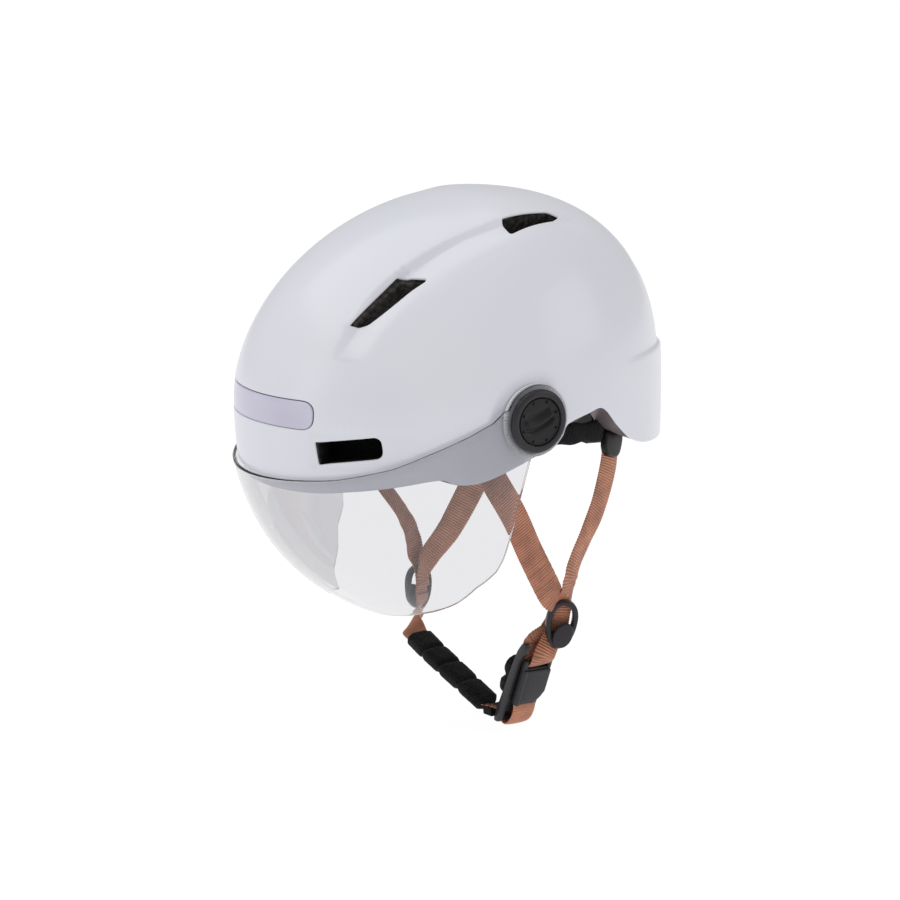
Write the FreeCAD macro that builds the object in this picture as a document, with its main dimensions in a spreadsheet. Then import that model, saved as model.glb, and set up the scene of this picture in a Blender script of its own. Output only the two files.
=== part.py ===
"""Urban cycling helmet with a flip-up clear visor, as a parametric FreeCAD document (millimetres).

Frame: +X is the wearer's left, -Y the front, +Z up. X = 0 is the symmetry plane, and the X axis line
through (Y = pivot_y, Z = 0) is the visor's pivot axis.
"""
import FreeCAD, Part
import math
import os
import Sketcher

V = FreeCAD.Vector
doc = FreeCAD.newDocument("Helmet")
sheet = doc.addObject("Spreadsheet::Sheet", "Sizes")
nodes = []

SIZES = [
    ("shell_half_width", 104.0), ("shell_front", 145.0), ("shell_rear", 135.0), ("shell_crown", 122.0),
    ("centre_y", 5.0), ("centre_z", 3.0), ("shell_wall", 2.0), ("bond_gap", 0.1),
    ("plan_power", 2.04), ("front_power", 1.83), ("rear_power", 2.43), ("skirt_drop", 260.0),
    ("cavity_half_width", 79.0), ("cavity_front", 113.0), ("cavity_rear", 106.0), ("cavity_crown", 94.0),
    ("visor_recess", 3.0), ("channel_depth", 5.0), ("channel_inner", 49.0), ("channel_outer", 66.0),
    ("rim_trim_height", 3.0), ("pivot_y", -4.0),
    ("lens_half_length", 48.0), ("lens_low", -2.0), ("lens_high", 15.0), ("lens_corner", 8.0),
    ("lens_wall", 2.0), ("lens_gap", 0.2), ("carrier_depth", 6.0), ("carrier_wall", 1.5),
    ("visor_wall", 2.0), ("visor_radius", 141.8), ("visor_half_width", 105.4), ("visor_low_radius", 145.0),
    ("visor_low_half_width", 110.6), ("visor_power", 2.0), ("visor_low_power", 2.4),
    ("ear_radius", 22.5), ("ear_in", 102.3), ("ear_out", 104.3),
    ("seat_radius", 23.2), ("seat_in", 95.0), ("seat_out", 101.2), ("stem_hole", 5.06),
    ("stem_radius", 5.0), ("stem_length", 16.7), ("stem_start", 87.9),
    ("lug_length", 16.0), ("lug_width", 5.0), ("lug_thick", 2.0),
    ("disc_radius", 15.0), ("disc_thick", 2.4), ("disc_start", 104.6),
    ("grip_length", 25.0), ("grip_width", 3.6), ("grip_height", 1.8),
    ("ring_inner", 15.3), ("ring_outer", 20.0), ("ring_thick", 3.0), ("ring_fillet", 0.9),
    ("washer_inner", 5.3), ("washer_outer", 12.0), ("washer_thick", 0.9), ("washer_start", 101.3),
    ("insert_radius", 11.0), ("insert_thick", 3.0), ("insert_start", 91.9),
    ("insert_slot_length", 17.0), ("insert_slot_width", 5.6),
    ("screw_circle", 8.2), ("screw_radius", 1.2), ("screw_hole", 1.27), ("screw_length", 6.0),
    ("screw_head_radius", 2.1), ("screw_head_thick", 1.3), ("screw_start", 90.5),
    ("temple_y", -30.0), ("temple_z", -22.0), ("fit_tilt", 4.0),
    ("band_half_width", 74.0), ("band_length", 100.0), ("band_centre", 35.0), ("band_wall", 1.8),
    ("band_height", 12.0), ("band_front", -9.0), ("band_end_x", 40.0),
    ("pin_radius", 2.0), ("pin_hole", 2.08), ("pin_head_radius", 4.5), ("pin_head_thick", 2.0),
    ("pin_start", 62.0), ("pin_length", 20.0),
    ("gear_modulus", 1.0), ("gear_teeth", 12.0), ("gear_backlash", 0.24), ("gear_addendum", 0.7),
    ("gear_dedendum", 1.05), ("pressure_angle", 20.0),
    ("rack_thick", 2.0), ("rack_y", 126.0), ("rack_back", 3.0), ("rack_inner_end", 14.0),
    ("rack_outer_end", 38.0),
    ("housing_half_width", 25.0), ("housing_half_height", 12.5), ("housing_front", 121.5),
    ("housing_depth", 9.5), ("housing_wall", 2.0), ("housing_corner", 4.0), ("cover_thick", 1.4),
    ("shaft_radius", 2.5), ("shaft_hole", 2.56), ("dial_radius", 12.5), ("dial_thick", 6.5),
    ("dial_start", 132.8), ("dial_grooves", 24.0), ("dial_groove_radius", 0.9),
    ("pad_gap", 0.4), ("pad_thick", 5.5),
    ("bay_half_width", 47.0), ("bay_rear", 100.6), ("dial_bay_half_width", 16.0), ("dial_bay_rear", 113.5),
    ("web_width", 18.5), ("web_thick", 1.6), ("slot_play", 1.2),
    ("divider_width", 20.5), ("divider_height", 31.0), ("divider_thick", 5.0),
    ("divider_opening_width", 13.0), ("divider_opening_height", 17.0), ("divider_opening_rise", 4.0),
    ("lock_width", 11.4), ("lock_height", 15.0), ("lock_thick", 2.6),
    ("lock_drop", -7.0), ("lock_lift", 0.2), ("lock_corner", 5.2),
    ("plate_width", 20.0), ("plate_length", 30.0), ("plate_thick", 5.0), ("plate_low", -18.0),
    ("rib_height", 9.6), ("rib_depth", 2.2), ("groove_height", 10.0), ("groove_depth", 2.4),
    ("base_width", 21.5), ("base_length", 43.0), ("base_low", -21.5), ("base_thick", 4.6), ("base_top",
                                                                                            -0.25),
    ("bar_radius", 1.9), ("bar_reach", 6.0), ("bar_arm", 2.0), ("magnet_radius", 3.6), ("magnet_thick",
                                                                                        1.4),
    ("magnet_hole", 3.65), ("fleece_thick", 6.5), ("fleece_length", 27.0), ("fleece_width", 19.0),
    ("keeper_width", 22.6), ("keeper_thick", 5.0), ("keeper_play", 0.7),
    ("chin_pad_width", 21.0), ("chin_pad_thick", 11.0),
    ("guide_width", 25.0), ("guide_thick", 7.0), ("guide_height", 6.0), ("guide_play", 1.7),
    ("anchor_length", 21.0), ("anchor_thick", 4.5), ("anchor_height", 4.0),
]
for row, (alias, number) in enumerate(SIZES, start=1):
    sheet.set(f"A{row}", alias)
    sheet.set(f"B{row}", str(number))
    sheet.setAlias(f"B{row}", alias)
doc.recompute()


def size(alias):
    """The sheet's value of one named size."""
    return float(sheet.get(alias))


def bind(thing, **expressions):
    """Tie an object's properties to cells or sums of cells of the sheet."""
    for name, words in expressions.items():
        thing.setExpression(name, words)


def named(thing, label):
    """Give a finished sub-part the label that names its file."""
    thing.Label = label
    nodes.append(thing)
    return thing


def solid_part(label, shape):
    """A sub-part whose form only a computed surface or path can give."""
    part = doc.addObject("Part::Feature", label)
    part.Shape = shape
    return named(part, label)


def axis_frame(origin, x_axis, y_axis):
    """A placement from an origin, the direction of local X and roughly that of local Y."""
    x = V(x_axis).normalize()
    z = x.cross(V(y_axis)).normalize()
    y = z.cross(x)
    matrix = FreeCAD.Matrix(x.x, y.x, z.x, origin[0], x.y, y.y, z.y, origin[1], x.z, y.z, z.z, origin[2], 0,
                            0, 0, 1)
    return FreeCAD.Placement(matrix)


def side_frame(sign):
    """Local +Z points out of the left (sign 1) or right (sign -1) side, on the visor's pivot axis."""
    return FreeCAD.Placement(V(0, size("pivot_y"), 0), FreeCAD.Rotation(V(0, 1, 0), 90 * sign))


SIDES = (("left", 1), ("right", -1))


def mirrored(shape):
    return shape.mirror(V(0, 0, 0), V(1, 0, 0))


# ---------------------------------------------------------------- primitives bound to the sheet
def cylinder(name, radius, height, z="0", x="0", y="0"):
    thing = doc.addObject("Part::Cylinder", name)
    bind(thing, Radius=radius, Height=height)
    bind(thing, **{"Placement.Base.x": x, "Placement.Base.y": y, "Placement.Base.z": z})
    return thing


def block(name, length, width, height, x, y, z):
    thing = doc.addObject("Part::Box", name)
    bind(thing, Length=length, Width=width, Height=height)
    bind(thing, **{"Placement.Base.x": x, "Placement.Base.y": y, "Placement.Base.z": z})
    return thing


def fused(name, parts):
    thing = doc.addObject("Part::MultiFuse", name)
    thing.Shapes = parts
    return thing


def cut(name, base, tool):
    thing = doc.addObject("Part::Cut", name)
    thing.Base = base
    thing.Tool = tool
    return thing


# ---------------------------------------------------------------- the shell's surface
def smooth(value):
    """0 below 0, 1 above 1, with an even turn between."""
    value = max(0.0, min(1.0, value))
    return value * value * (3 - 2 * value)


def along(points, value):
    """Height of a polyline of (place, height) points at one place."""
    if value <= points[0][0]:
        return points[0][1]
    for (place, height), (next_place, next_height) in zip(points, points[1:]):
        if value <= next_place:
            return height + (next_height - height) * (value - place) / (next_place - place)
    return points[-1][1]


STEP_LINE = [(-138, -36.5), (-117, -31.4), (-90, -23.6), (-73, -16), (-49, -6), (-32, 1), (-20, 14)]
CHANNEL_RUN = [(-114, 0.0), (-96, 0.9), (-80, 1.0), (-60, 0.9), (-20, 0.45), (8, 0.6), (45, 0.55),
               (66, 0.0)]


def sink(x, y, z):
    """How far the visor recess and the roof channel lie below the plain egg shape."""
    depth = 0.0
    if y < -18:
        depth = size("visor_recess") * smooth((along(STEP_LINE, y) - z) / 9 + 0.5)
    near_pivot = math.hypot(y - size("pivot_y"), max(z, 0))
    if y < 15:
        depth = max(depth, size("visor_recess") * smooth((33 - near_pivot) / 9) * smooth((10 - y) / 10))
    if z > 40:
        inner = size("channel_inner")
        outer = size("channel_outer")
        wall = smooth((abs(x) - inner + 2) / 6)
        ramp = smooth((outer - abs(x)) / (outer - inner - 2))
        depth += size("channel_depth") * along(CHANNEL_RUN, y) * wall * ramp
    return depth


def egg_radius(direction, reach, powers):
    """Distance from the egg's centre to its skin; reach is (half width, front, rear, crown)."""
    half_width, front, rear, crown = reach
    flat = math.hypot(direction.x, direction.y)
    turn = direction.y / flat if flat else 0.0
    share = 0.5 + 0.5 * math.tanh(turn / 0.5) / math.tanh(2)
    plan, front_power, rear_power = powers
    power = front_power + (rear_power - front_power) * share
    length = rear if direction.y > 0 else front
    height = crown if direction.z > 0 else size("skirt_drop")
    plan_term = (abs(direction.x) / half_width) ** plan + (abs(direction.y) / length) ** plan
    return (plan_term ** (power / plan) + (abs(direction.z) / height) ** power) ** (-1 / power)


APEX_Z = -70.0
SPREAD = math.radians(82)
STEPS = 60


def egg_point(ray, reach, powers, relief):
    """Where a ray from the low apex meets the egg."""
    centre = V(0, size("centre_y"), size("centre_z"))
    apex = V(0, centre.y, APEX_Z)
    low = 0.0
    high = 600.0
    for _ in range(46):
        middle = (low + high) / 2
        place = apex + ray * middle - centre
        reach_here = egg_radius(V(place).normalize(), reach, powers)
        if place.Length < reach_here:
            low = middle
        else:
            high = middle
    point = apex + ray * low
    if relief:
        outward = V(point - centre).normalize()
        point = point - ray * (sink(point.x, point.y, point.z) / max(ray.dot(outward), 0.3))
    return point


def egg_skin(reach, powers, inset, relief):
    """One smooth face over the whole dome, through points on a fan of rays."""
    reach = [length - inset for length in reach]
    grid = []
    for i in range(STEPS + 1):
        row = []
        for j in range(STEPS + 1):
            across = math.tan(SPREAD * (2 * i / STEPS - 1))
            lengthways = math.tan(SPREAD * (2 * j / STEPS - 1))
            row.append(egg_point(V(across, lengthways, 1).normalize(), reach, powers, relief))
        grid.append(row)
    skin = Part.BSplineSurface()
    skin.interpolate(grid)
    return skin.toShape()


def dome(skin):
    """A closed solid: a domed skin over four flat sides that meet at the apex of its rays."""
    apex = V(0, size("centre_y"), APEX_Z)
    faces = [skin]
    for edge in skin.Edges:
        first, last = [vertex.Point for vertex in edge.Vertexes]
        sides = [Part.makeLine(apex, first), edge, Part.makeLine(last, apex)]
        faces.append(Part.Face(Part.Wire(Part.__sortEdges__(sides))))
    solid = Part.Solid(Part.Shell(faces))
    if solid.Volume < 0:
        solid.reverse()
    return solid


def layer(outer, zone, inner):
    """The part of one dome that lies in a zone, without what another dome holds."""
    return outer.common(zone).cut(inner)


EGG_POWERS = (size("plan_power"), size("front_power"), size("rear_power"))
EGG_REACH = [size("shell_half_width"), size("shell_front"), size("shell_rear"), size("shell_crown")]
CAVITY_REACH = [size("cavity_half_width"), size("cavity_front"), size("cavity_rear"), size("cavity_crown")]
CAVITY_POWERS = (size("plan_power"), 2.0, 2.1)


def shell_dome(inset, relief=True):
    return dome(egg_skin(EGG_REACH, EGG_POWERS, inset, relief))


def cavity_dome(inset=0.0):
    return dome(egg_skin(CAVITY_REACH, CAVITY_POWERS, inset, False))


RIM_FRONT = [(-150, -41), (-126, -41.4), (-105, -38.5), (-86, -35.6), (-62, -32), (-52, -35.5),
             (-38, -35.4),
             (-24, -31), (-9, -25.2)]
RIM_REAR = [(19, -5), (36, -0.8), (45, 0.8), (52, -2.5), (62, -12.8), (75, -23.6), (88, -28.8),
            (102, -31.1),
            (125, -33.4), (150, -34)]


def above_rim(lift=0.0):
    """Everything above the shell's lower edge, as a prism across the helmet."""
    top = 150.0
    half_width = 130.0
    fronts = [V(-half_width, y, z + lift) for y, z in RIM_FRONT]
    rears = [V(-half_width, y, z + lift) for y, z in RIM_REAR]
    curves = []
    for points in (fronts, rears):
        curve = Part.BSplineCurve()
        curve.interpolate(points)
        curves.append(curve.toShape())
    knob_bow = V(-half_width, 8, -18.5 + lift)
    curves.insert(1, Part.Arc(fronts[-1], knob_bow, rears[0]).toShape())
    corners = [rears[-1], V(-half_width, 150, top), V(-half_width, -150, top), fronts[0]]
    lines = [Part.makeLine(a, b) for a, b in zip(corners, corners[1:])]
    face = Part.Face(Part.Wire(curves + lines))
    return face.extrude(V(2 * half_width, 0, 0))


def prism(points, direction, start, length):
    """A straight cutter whose outline passes near the given points."""
    direction = V(direction).normalize()
    middle = V()
    for point in points:
        middle += V(point) * (1 / len(points))
    flat = [V(point) - direction * (V(point) - middle).dot(direction) + direction * start for point in points]
    face = Part.Face(Part.makePolygon(flat + [flat[0]]))
    return face.extrude(direction * -length)


VENTS = [
    ([(49.8, -122.9, -9.5), (73, -99, -3.5), (77, -93, -8), (76.9, -93.4, -16), (74, -97, -18.5),
      (50.5, -121.4, -22.7)], (0.72, -0.68, 0.12), 26, 82),
    ([(50.2, -100.2, 58.1), (58.4, -91.3, 58.7), (62, -54.3, 83.2), (52.8, -67.7, 84.1)],
     (0.45, -0.52, 0.72), 14, 72),
    ([(49, 6.3, 113.2), (61.1, 5.3, 104.8), (50.6, 48.7, 110.1), (46.3, 42.2, 113.7)], (0.45, 0.1, 0.88),
     14, 62),
    ([(31.8, 104.4, 89.2), (46.2, 107.6, 74.8), (40, 120, 62), (22, 121, 72)], (0.28, 0.72, 0.64), 14, 66),
]


def vent_cutters():
    tools = []
    for outline, direction, start, length in VENTS:
        tool = prism(outline, direction, start, length)
        tools += [tool, mirrored(tool)]
    return tools


def lens_prism(play=0.0):
    """The front insert's rounded outline, run back through the brow."""
    half = size("lens_half_length") + play
    low = size("lens_low") - play
    high = size("lens_high") + play
    start = -160.0
    box = Part.makeBox(2 * half, 70, high - low, V(-half, start, low))
    edges = [edge for edge in box.Edges if abs(edge.tangentAt(edge.FirstParameter).y) > 0.99]
    return box.makeFillet(size("lens_corner") + min(play, 0), edges)


def pivot_cylinder(radius, start, length):
    shape = Part.makeCylinder(radius, length, V(start, size("pivot_y"), 0), V(1, 0, 0))
    return [shape, mirrored(shape)]


def screw_places():
    reach = size("screw_circle") * math.sqrt(0.5)
    return [(reach * a, reach * b) for a in (1, -1) for b in (1, -1)]


def pivot_screw_holes(radius, start, length):
    holes = []
    for dy, dz in screw_places():
        hole = Part.makeCylinder(radius, length, V(start, size("pivot_y") + dy, dz), V(1, 0, 0))
        holes += [hole, mirrored(hole)]
    return holes


# ---------------------------------------------------------------- webbing
def band_section(centre, side, look, width, thick):
    """Cross-section of a band: side runs along its width, look is roughly the way its flat side looks."""
    side = V(side).normalize()
    rise = V(look)
    rise = (rise - side * rise.dot(side)).normalize() * (thick / 2)
    side = side * (width / 2)
    centre = V(centre)
    ring = [centre + side + rise, centre - side + rise, centre - side - rise, centre + side - rise]
    return Part.makePolygon(ring + [ring[0]])


def lofted(sections):
    """A solid through cross-sections, with straight sides where there are only two."""
    solid = Part.makeLoft(sections, True, len(sections) < 3)
    if solid.Volume < 0:
        solid.reverse()
    return solid


def ribbon(points, faces, width, thick):
    """A flat band through the points; each face direction is the way its flat side looks."""
    sections = []
    for index, point in enumerate(points):
        before = V(points[max(index - 1, 0)])
        after = V(points[min(index + 1, len(points) - 1)])
        run = (after - before).normalize()
        sections.append(band_section(point, run.cross(V(faces[index])), faces[index], width, thick))
    return lofted(sections)


FRONT_ROUTES = {
    "left": ([(88.4, -37, -16), (87.4, -23.9, -36.6), (86, -8.1, -61.5), (84, 5, -86.3), (81, 18.2, -108.7),
              (79.4, 24.5, -120)], [(1, -0.05, 0.1)] * 4 + [(1, -0.15, 0.2)] * 2),
    "right": ([(-88.4, -37, -16), (-86.6, -23.9, -38), (-83, -6, -70), (-80.4, 12, -96), (-78.8, 23, -114),
               (-76, 24, -131)], [(-1, -0.05, 0.1)] * 2 + [(-1, 0.1, 0.1)] * 2 + [(-0.9, 0.4, 0.1)] * 2),
}
REAR_ROUTES = {
    "left": ([(62, 80, -10), (62, 80.5, -29), (65, 77, -46), (71, 65, -68.8), (75, 53, -85),
              (77.5, 43, -100),
              (78.6, 37.5, -111), (79, 35.4, -118.5)], [(0.45, 0.8, 0.2)] * 5 + [(0.55, 0.75, 0.2)] * 3),
    "right": ([(-62, 80, -10), (-62, 80.5, -29), (-64, 76, -50), (-66, 64, -80), (-68.6, 45.5, -112),
               (-70.6, 30, -131)], [(-0.85, 0.5, 0.2)] * 4 + [(-0.9, 0.4, 0.1)] * 2),
}
# The middle, the up direction and the outward face of each divider.
DIVIDERS = {
    "left": ((78, 33.3, -138.7), (0.12, -0.2, 1), (0.9, -0.35, 0.1)),
    "right": ((-72, 20.7, -151.6), (-0.12, 0.1, 1), (-0.9, -0.3, 0.1)),
}
BUCKLE_ORIGIN = (57.5, 22.5, -180)
BUCKLE_ACROSS = (-0.017, 0.9975, -0.047)
BUCKLE_UP = (0.346, 0.05, 0.937)
BUCKLE = axis_frame(BUCKLE_ORIGIN, BUCKLE_ACROSS, BUCKLE_UP)


def buckle_point(across, rise, out):
    return BUCKLE.multVec(V(across, rise, out))


def strap_slot_cutters():
    tools = []
    for routes in (FRONT_ROUTES, REAR_ROUTES):
        for side in ("left", "right"):
            route, looks = routes[side]
            first = V(route[0])
            second = V(route[1])
            tail = second + (second - first) * 0.5
            width = size("web_width") + size("anchor_height")
            thick = size("anchor_thick") + size("slot_play")
            top = first - (second - first).normalize() * (size("anchor_height") + 1.5)
            tools.append(ribbon([top, tail], [looks[0]] * 2, width, thick))
    return tools


# ---------------------------------------------------------------- shell, foam and rim
def temple_holes():
    start = size("pin_start")
    hole = Part.makeCylinder(size("pin_radius") + 0.05, size("pin_length") + 0.5,
                             V(start, size("temple_y"), size("temple_z")), V(1, 0, 0))
    return [hole, mirrored(hole)]


def rear_bays():
    """Room at the back of the head for the racks and the fit dial, which tilt up and down."""
    low = -60.0
    bays = []
    for half, rear, top in ((size("bay_half_width"), size("bay_rear"), -12.0),
                            (size("dial_bay_half_width"), size("dial_bay_rear"), -6.0)):
        bays.append(Part.makeBox(2 * half, 40, top - low, V(-half, rear - 40, low)))
    return bays


keep = above_rim()
vents = vent_cutters()
seat_bosses = pivot_cylinder(size("seat_radius"), size("seat_in"), size("seat_out") - size("seat_in"))
skin_dome = shell_dome(0.0)
under_dome = shell_dome(size("shell_wall"))
shell_shape = layer(skin_dome, keep, under_dome)
shell_shape = shell_shape.cut(pivot_cylinder(size("seat_radius") + 0.4, size("seat_out"), 12))
shell_shape = shell_shape.fuse([boss.common(keep) for boss in seat_bosses])
shell_shape = shell_shape.cut(vents + [lens_prism(size("lens_gap"))])
shell_shape = shell_shape.cut(pivot_cylinder(size("stem_hole"), 80, 30))
shell_shape = shell_shape.cut(pivot_screw_holes(size("screw_hole"), size("screw_start") - 0.5,
                                                size("screw_length") + 1))
solid_part("outer_shell", shell_shape)

plain_dome = shell_dome(0.0, relief=False)
carrier_front = size("lens_wall") + 0.1
carrier_end = size("lens_wall") + size("carrier_depth")
pocket_play = 0.6
pocket = layer(plain_dome, lens_prism(pocket_play), shell_dome(carrier_end + 0.8, relief=False))


def foam_openings(shape):
    """Everything that is let into the foam and its rim."""
    shape = shape.cut(vents)
    shape = shape.cut(pivot_cylinder(size("seat_radius") + 0.1, size("seat_in") - 0.1, 20))
    shape = shape.cut(pivot_cylinder(size("insert_radius") + 0.3, size("stem_start") - 1.2, 10))
    shape = shape.cut(strap_slot_cutters())
    return shape.cut(temple_holes() + rear_bays() + [pocket])


foam_dome = shell_dome(size("shell_wall") + size("bond_gap"))
cavity = cavity_dome()
liner_zone = above_rim(size("rim_trim_height") + 0.05)
solid_part("foam_liner", foam_openings(layer(foam_dome, liner_zone, cavity)))
trim_zone = keep.cut(above_rim(size("rim_trim_height")))
solid_part("rim_trim", foam_openings(layer(foam_dome, trim_zone, cavity)))

solid_part("front_reflector", layer(skin_dome, lens_prism(), shell_dome(size("lens_wall"))))
carrier_body = layer(shell_dome(carrier_front, relief=False), lens_prism(-0.2),
                     shell_dome(carrier_end, relief=False))
carrier_room = layer(plain_dome, lens_prism(-0.2 - size("carrier_wall")),
                     shell_dome(carrier_end - size("carrier_wall"), relief=False))
solid_part("reflector_carrier", carrier_body.cut(carrier_room))

# ---------------------------------------------------------------- comfort pads
pad_outer = cavity_dome(size("pad_gap"))
pad_inner = cavity_dome(size("pad_gap") + size("pad_thick"))
PADS = {
    "brow_pad": (V(-56, -125, -30), V(112, 62, 26)),
    "crown_pad": (V(-16, -42, 60), V(32, 88, 60)),
    "side_pad_left": (V(35, -45, 38), V(60, 80, 26)),
    "side_pad_right": (V(-95, -45, 38), V(60, 80, 26)),
}
for label, (corner, span) in PADS.items():
    solid_part(label, layer(pad_outer, Part.makeBox(span.x, span.y, span.z, corner), pad_inner))


# ---------------------------------------------------------------- visor
def visor_point(share, angle, inset):
    """A point of the visor's skin; share runs from -1 to 1 across it, angle goes down from the front."""
    low = smooth((angle - math.radians(15)) / math.radians(55))
    low *= 1 - smooth((abs(share) - 0.86) / 0.125)
    radius = size("visor_radius") + (size("visor_low_radius") - size("visor_radius")) * low - inset
    half = size("visor_half_width") + (size("visor_low_half_width") - size("visor_half_width")) * low - inset
    power = size("visor_power") + (size("visor_low_power") - size("visor_power")) * low
    reach = radius * (1 - abs(share) ** power) ** (1 / power)
    return V(share * half, size("pivot_y") - reach * math.cos(angle), -reach * math.sin(angle))


def visor_band():
    """The whole toroidal sheet, before its outline is cut."""
    across = 40
    around = 30
    skins = []
    for inset in (0.0, size("visor_wall")):
        grid = []
        for i in range(across + 1):
            share = 0.994 * math.sin(math.pi / 2 * (2 * i / across - 1))
            row = [visor_point(share, math.radians(-45 + 160 * j / around),
                               inset) for j in range(around + 1)]
            grid.append(row)
        skin = Part.BSplineSurface()
        skin.interpolate(grid)
        skins.append(skin.toShape())
    faces = list(skins)
    for outer_edge, inner_edge in zip(skins[0].Edges, skins[1].Edges):
        faces.append(Part.makeRuledSurface(outer_edge, inner_edge))
    solid = Part.Solid(Part.Shell(Part.makeCompound(faces).Faces))
    if not solid.isValid():
        solid = Part.Solid(Part.makeShell(faces))
    if solid.Volume < 0:
        solid.reverse()
    return solid


VISOR_TOP = [(-26, 8), (-34, 1.5), (-49.2, -5.6), (-72.8, -15.5), (-89.6, -23), (-116.9, -31), (-160, -38)]
VISOR_LOW = [(-160, -88), (-91, -118.5), (-79, -126), (-66.9, -128.6), (-50, -123), (-38, -112),
             (-27, -98), (-20, -80), (-17, -60), (-12, -38), (-4, -21)]


def visor_outline():
    """The visor's side view, run across the helmet as a prism."""
    half_width = 130.0
    top = [V(-half_width, y, z) for y, z in VISOR_TOP]
    low = [V(-half_width, y, z) for y, z in VISOR_LOW]
    top_curve = Part.BSplineCurve()
    top_curve.interpolate(top)
    low_curve = Part.BSplineCurve()
    low_curve.interpolate(low[1:])
    lines = [Part.makeLine(top[-1], low[0]), Part.makeLine(low[0], low[1]), Part.makeLine(low[-1], top[0])]
    wire = Part.Wire(Part.__sortEdges__([top_curve.toShape(), low_curve.toShape()] + lines))
    return Part.Face(wire).extrude(V(2 * half_width, 0, 0))


visor_shape = visor_band().common(visor_outline())
visor_shape = visor_shape.fuse(pivot_cylinder(size("ear_radius"), size("ear_in"),
                                              size("ear_out") - size("ear_in")))
visor_shape = visor_shape.cut(pivot_cylinder(size("ear_radius"), size("seat_out") - 2,
                                             size("ear_in") - size("seat_out") + 2))
visor_shape = visor_shape.cut(pivot_cylinder(size("ring_outer") + 0.3, size("ear_out"), 9))
visor_shape = visor_shape.cut(pivot_cylinder(size("stem_hole"), 80, 40))
solid_part("visor", visor_shape)

# ---------------------------------------------------------------- pivot knobs
for side, sign in SIDES:
    disc = cylinder(f"disc_{side}", "Sizes.disc_radius", "Sizes.disc_thick", "Sizes.disc_start")
    stem = cylinder(f"stem_{side}", "Sizes.stem_radius", "Sizes.stem_length", "Sizes.stem_start")
    lugs = block(f"lugs_{side}", "Sizes.lug_width", "Sizes.lug_length", "Sizes.lug_thick",
                 "-Sizes.lug_width / 2", "-Sizes.lug_length / 2", "Sizes.stem_start")
    grip = block(f"grip_{side}", "Sizes.grip_width", "Sizes.grip_length", "Sizes.grip_height",
                 "-Sizes.grip_width / 2", "-Sizes.grip_length / 2", "Sizes.disc_start + Sizes.disc_thick")
    knob = fused(f"knob_{side}", [disc, stem, lugs, grip])
    knob.Placement = side_frame(sign)
    named(knob, f"visor_knob_{side}")

    ring_body = doc.addObject("PartDesign::Body", f"ring_body_{side}")
    ring_sketch = ring_body.newObject("Sketcher::SketchObject", f"ring_sketch_{side}")
    flat = [plane for plane in ring_body.Origin.OriginFeatures if plane.Role == "XY_Plane"][0]
    ring_sketch.AttachmentSupport = (flat, [""])
    ring_sketch.MapMode = "FlatFace"
    for index, alias in enumerate(("ring_outer", "ring_inner")):
        ring_sketch.addGeometry(Part.Circle(V(0, 0, 0), V(0, 0, 1), size(alias)), False)
        ring_sketch.addConstraint(Sketcher.Constraint("Coincident", index, 3, -1, 1))
        ring_sketch.addConstraint(Sketcher.Constraint("Radius", index, size(alias)))
        ring_sketch.setExpression(f"Constraints[{2 * index + 1}]", f"Sizes.{alias}")
    ring_pad = ring_body.newObject("PartDesign::Pad", f"ring_pad_{side}")
    ring_pad.Profile = ring_sketch
    bind(ring_pad, Length="Sizes.ring_thick")
    doc.recompute()
    rounded = ring_body.newObject("PartDesign::Fillet", f"ring_round_{side}")
    tops = [f"Edge{i + 1}" for i, edge in enumerate(ring_pad.Shape.Edges)
            if abs(edge.BoundBox.ZMin - size("ring_thick")) < 0.01 and abs(edge.BoundBox.ZMax - size("ring_thick")) < 0.01]
    rounded.Base = (ring_pad, tops)
    bind(rounded, Radius="Sizes.ring_fillet")
    place = side_frame(sign)
    ring_body.Placement = FreeCAD.Placement(V(sign * size("ear_out"), size("pivot_y"), 0), place.Rotation)
    named(ring_body, f"knob_rim_{side}")

    washer = cut(f"washer_{side}",
                 cylinder(f"washer_disc_{side}", "Sizes.washer_outer", "Sizes.washer_thick",
                          "Sizes.washer_start"),
                 cylinder(f"washer_hole_{side}", "Sizes.washer_inner", "Sizes.washer_thick * 3",
                          "Sizes.washer_start - Sizes.washer_thick"))
    washer.Placement = side_frame(sign)
    named(washer, f"visor_washer_{side}")

    openings = [
        cylinder(f"insert_bore_{side}", "Sizes.stem_hole", "Sizes.insert_thick * 3",
                 "Sizes.insert_start - Sizes.insert_thick"),
        block(f"insert_slot_{side}", "Sizes.insert_slot_length", "Sizes.insert_slot_width",
              "Sizes.insert_thick * 3",
              "-Sizes.insert_slot_length / 2", "-Sizes.insert_slot_width / 2", "Sizes.insert_start - Sizes.insert_thick"),
    ]
    for index, (a, b) in enumerate(((1, 1), (1, -1), (-1, 1), (-1, -1))):
        openings.append(cylinder(f"insert_screw_hole_{side}_{index}", "Sizes.screw_hole",
                                 "Sizes.insert_thick * 3",
                                 "Sizes.insert_start - Sizes.insert_thick",
                                 f"{a} * Sizes.screw_circle * sqrt(0.5)", f"{b} * Sizes.screw_circle * sqrt(0.5)"))
    insert = cut(f"insert_{side}", cylinder(f"insert_disc_{side}", "Sizes.insert_radius",
                                            "Sizes.insert_thick", "Sizes.insert_start"),
                 fused(f"insert_openings_{side}", openings))
    insert.Placement = side_frame(sign)
    named(insert, f"pivot_insert_{side}")

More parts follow.
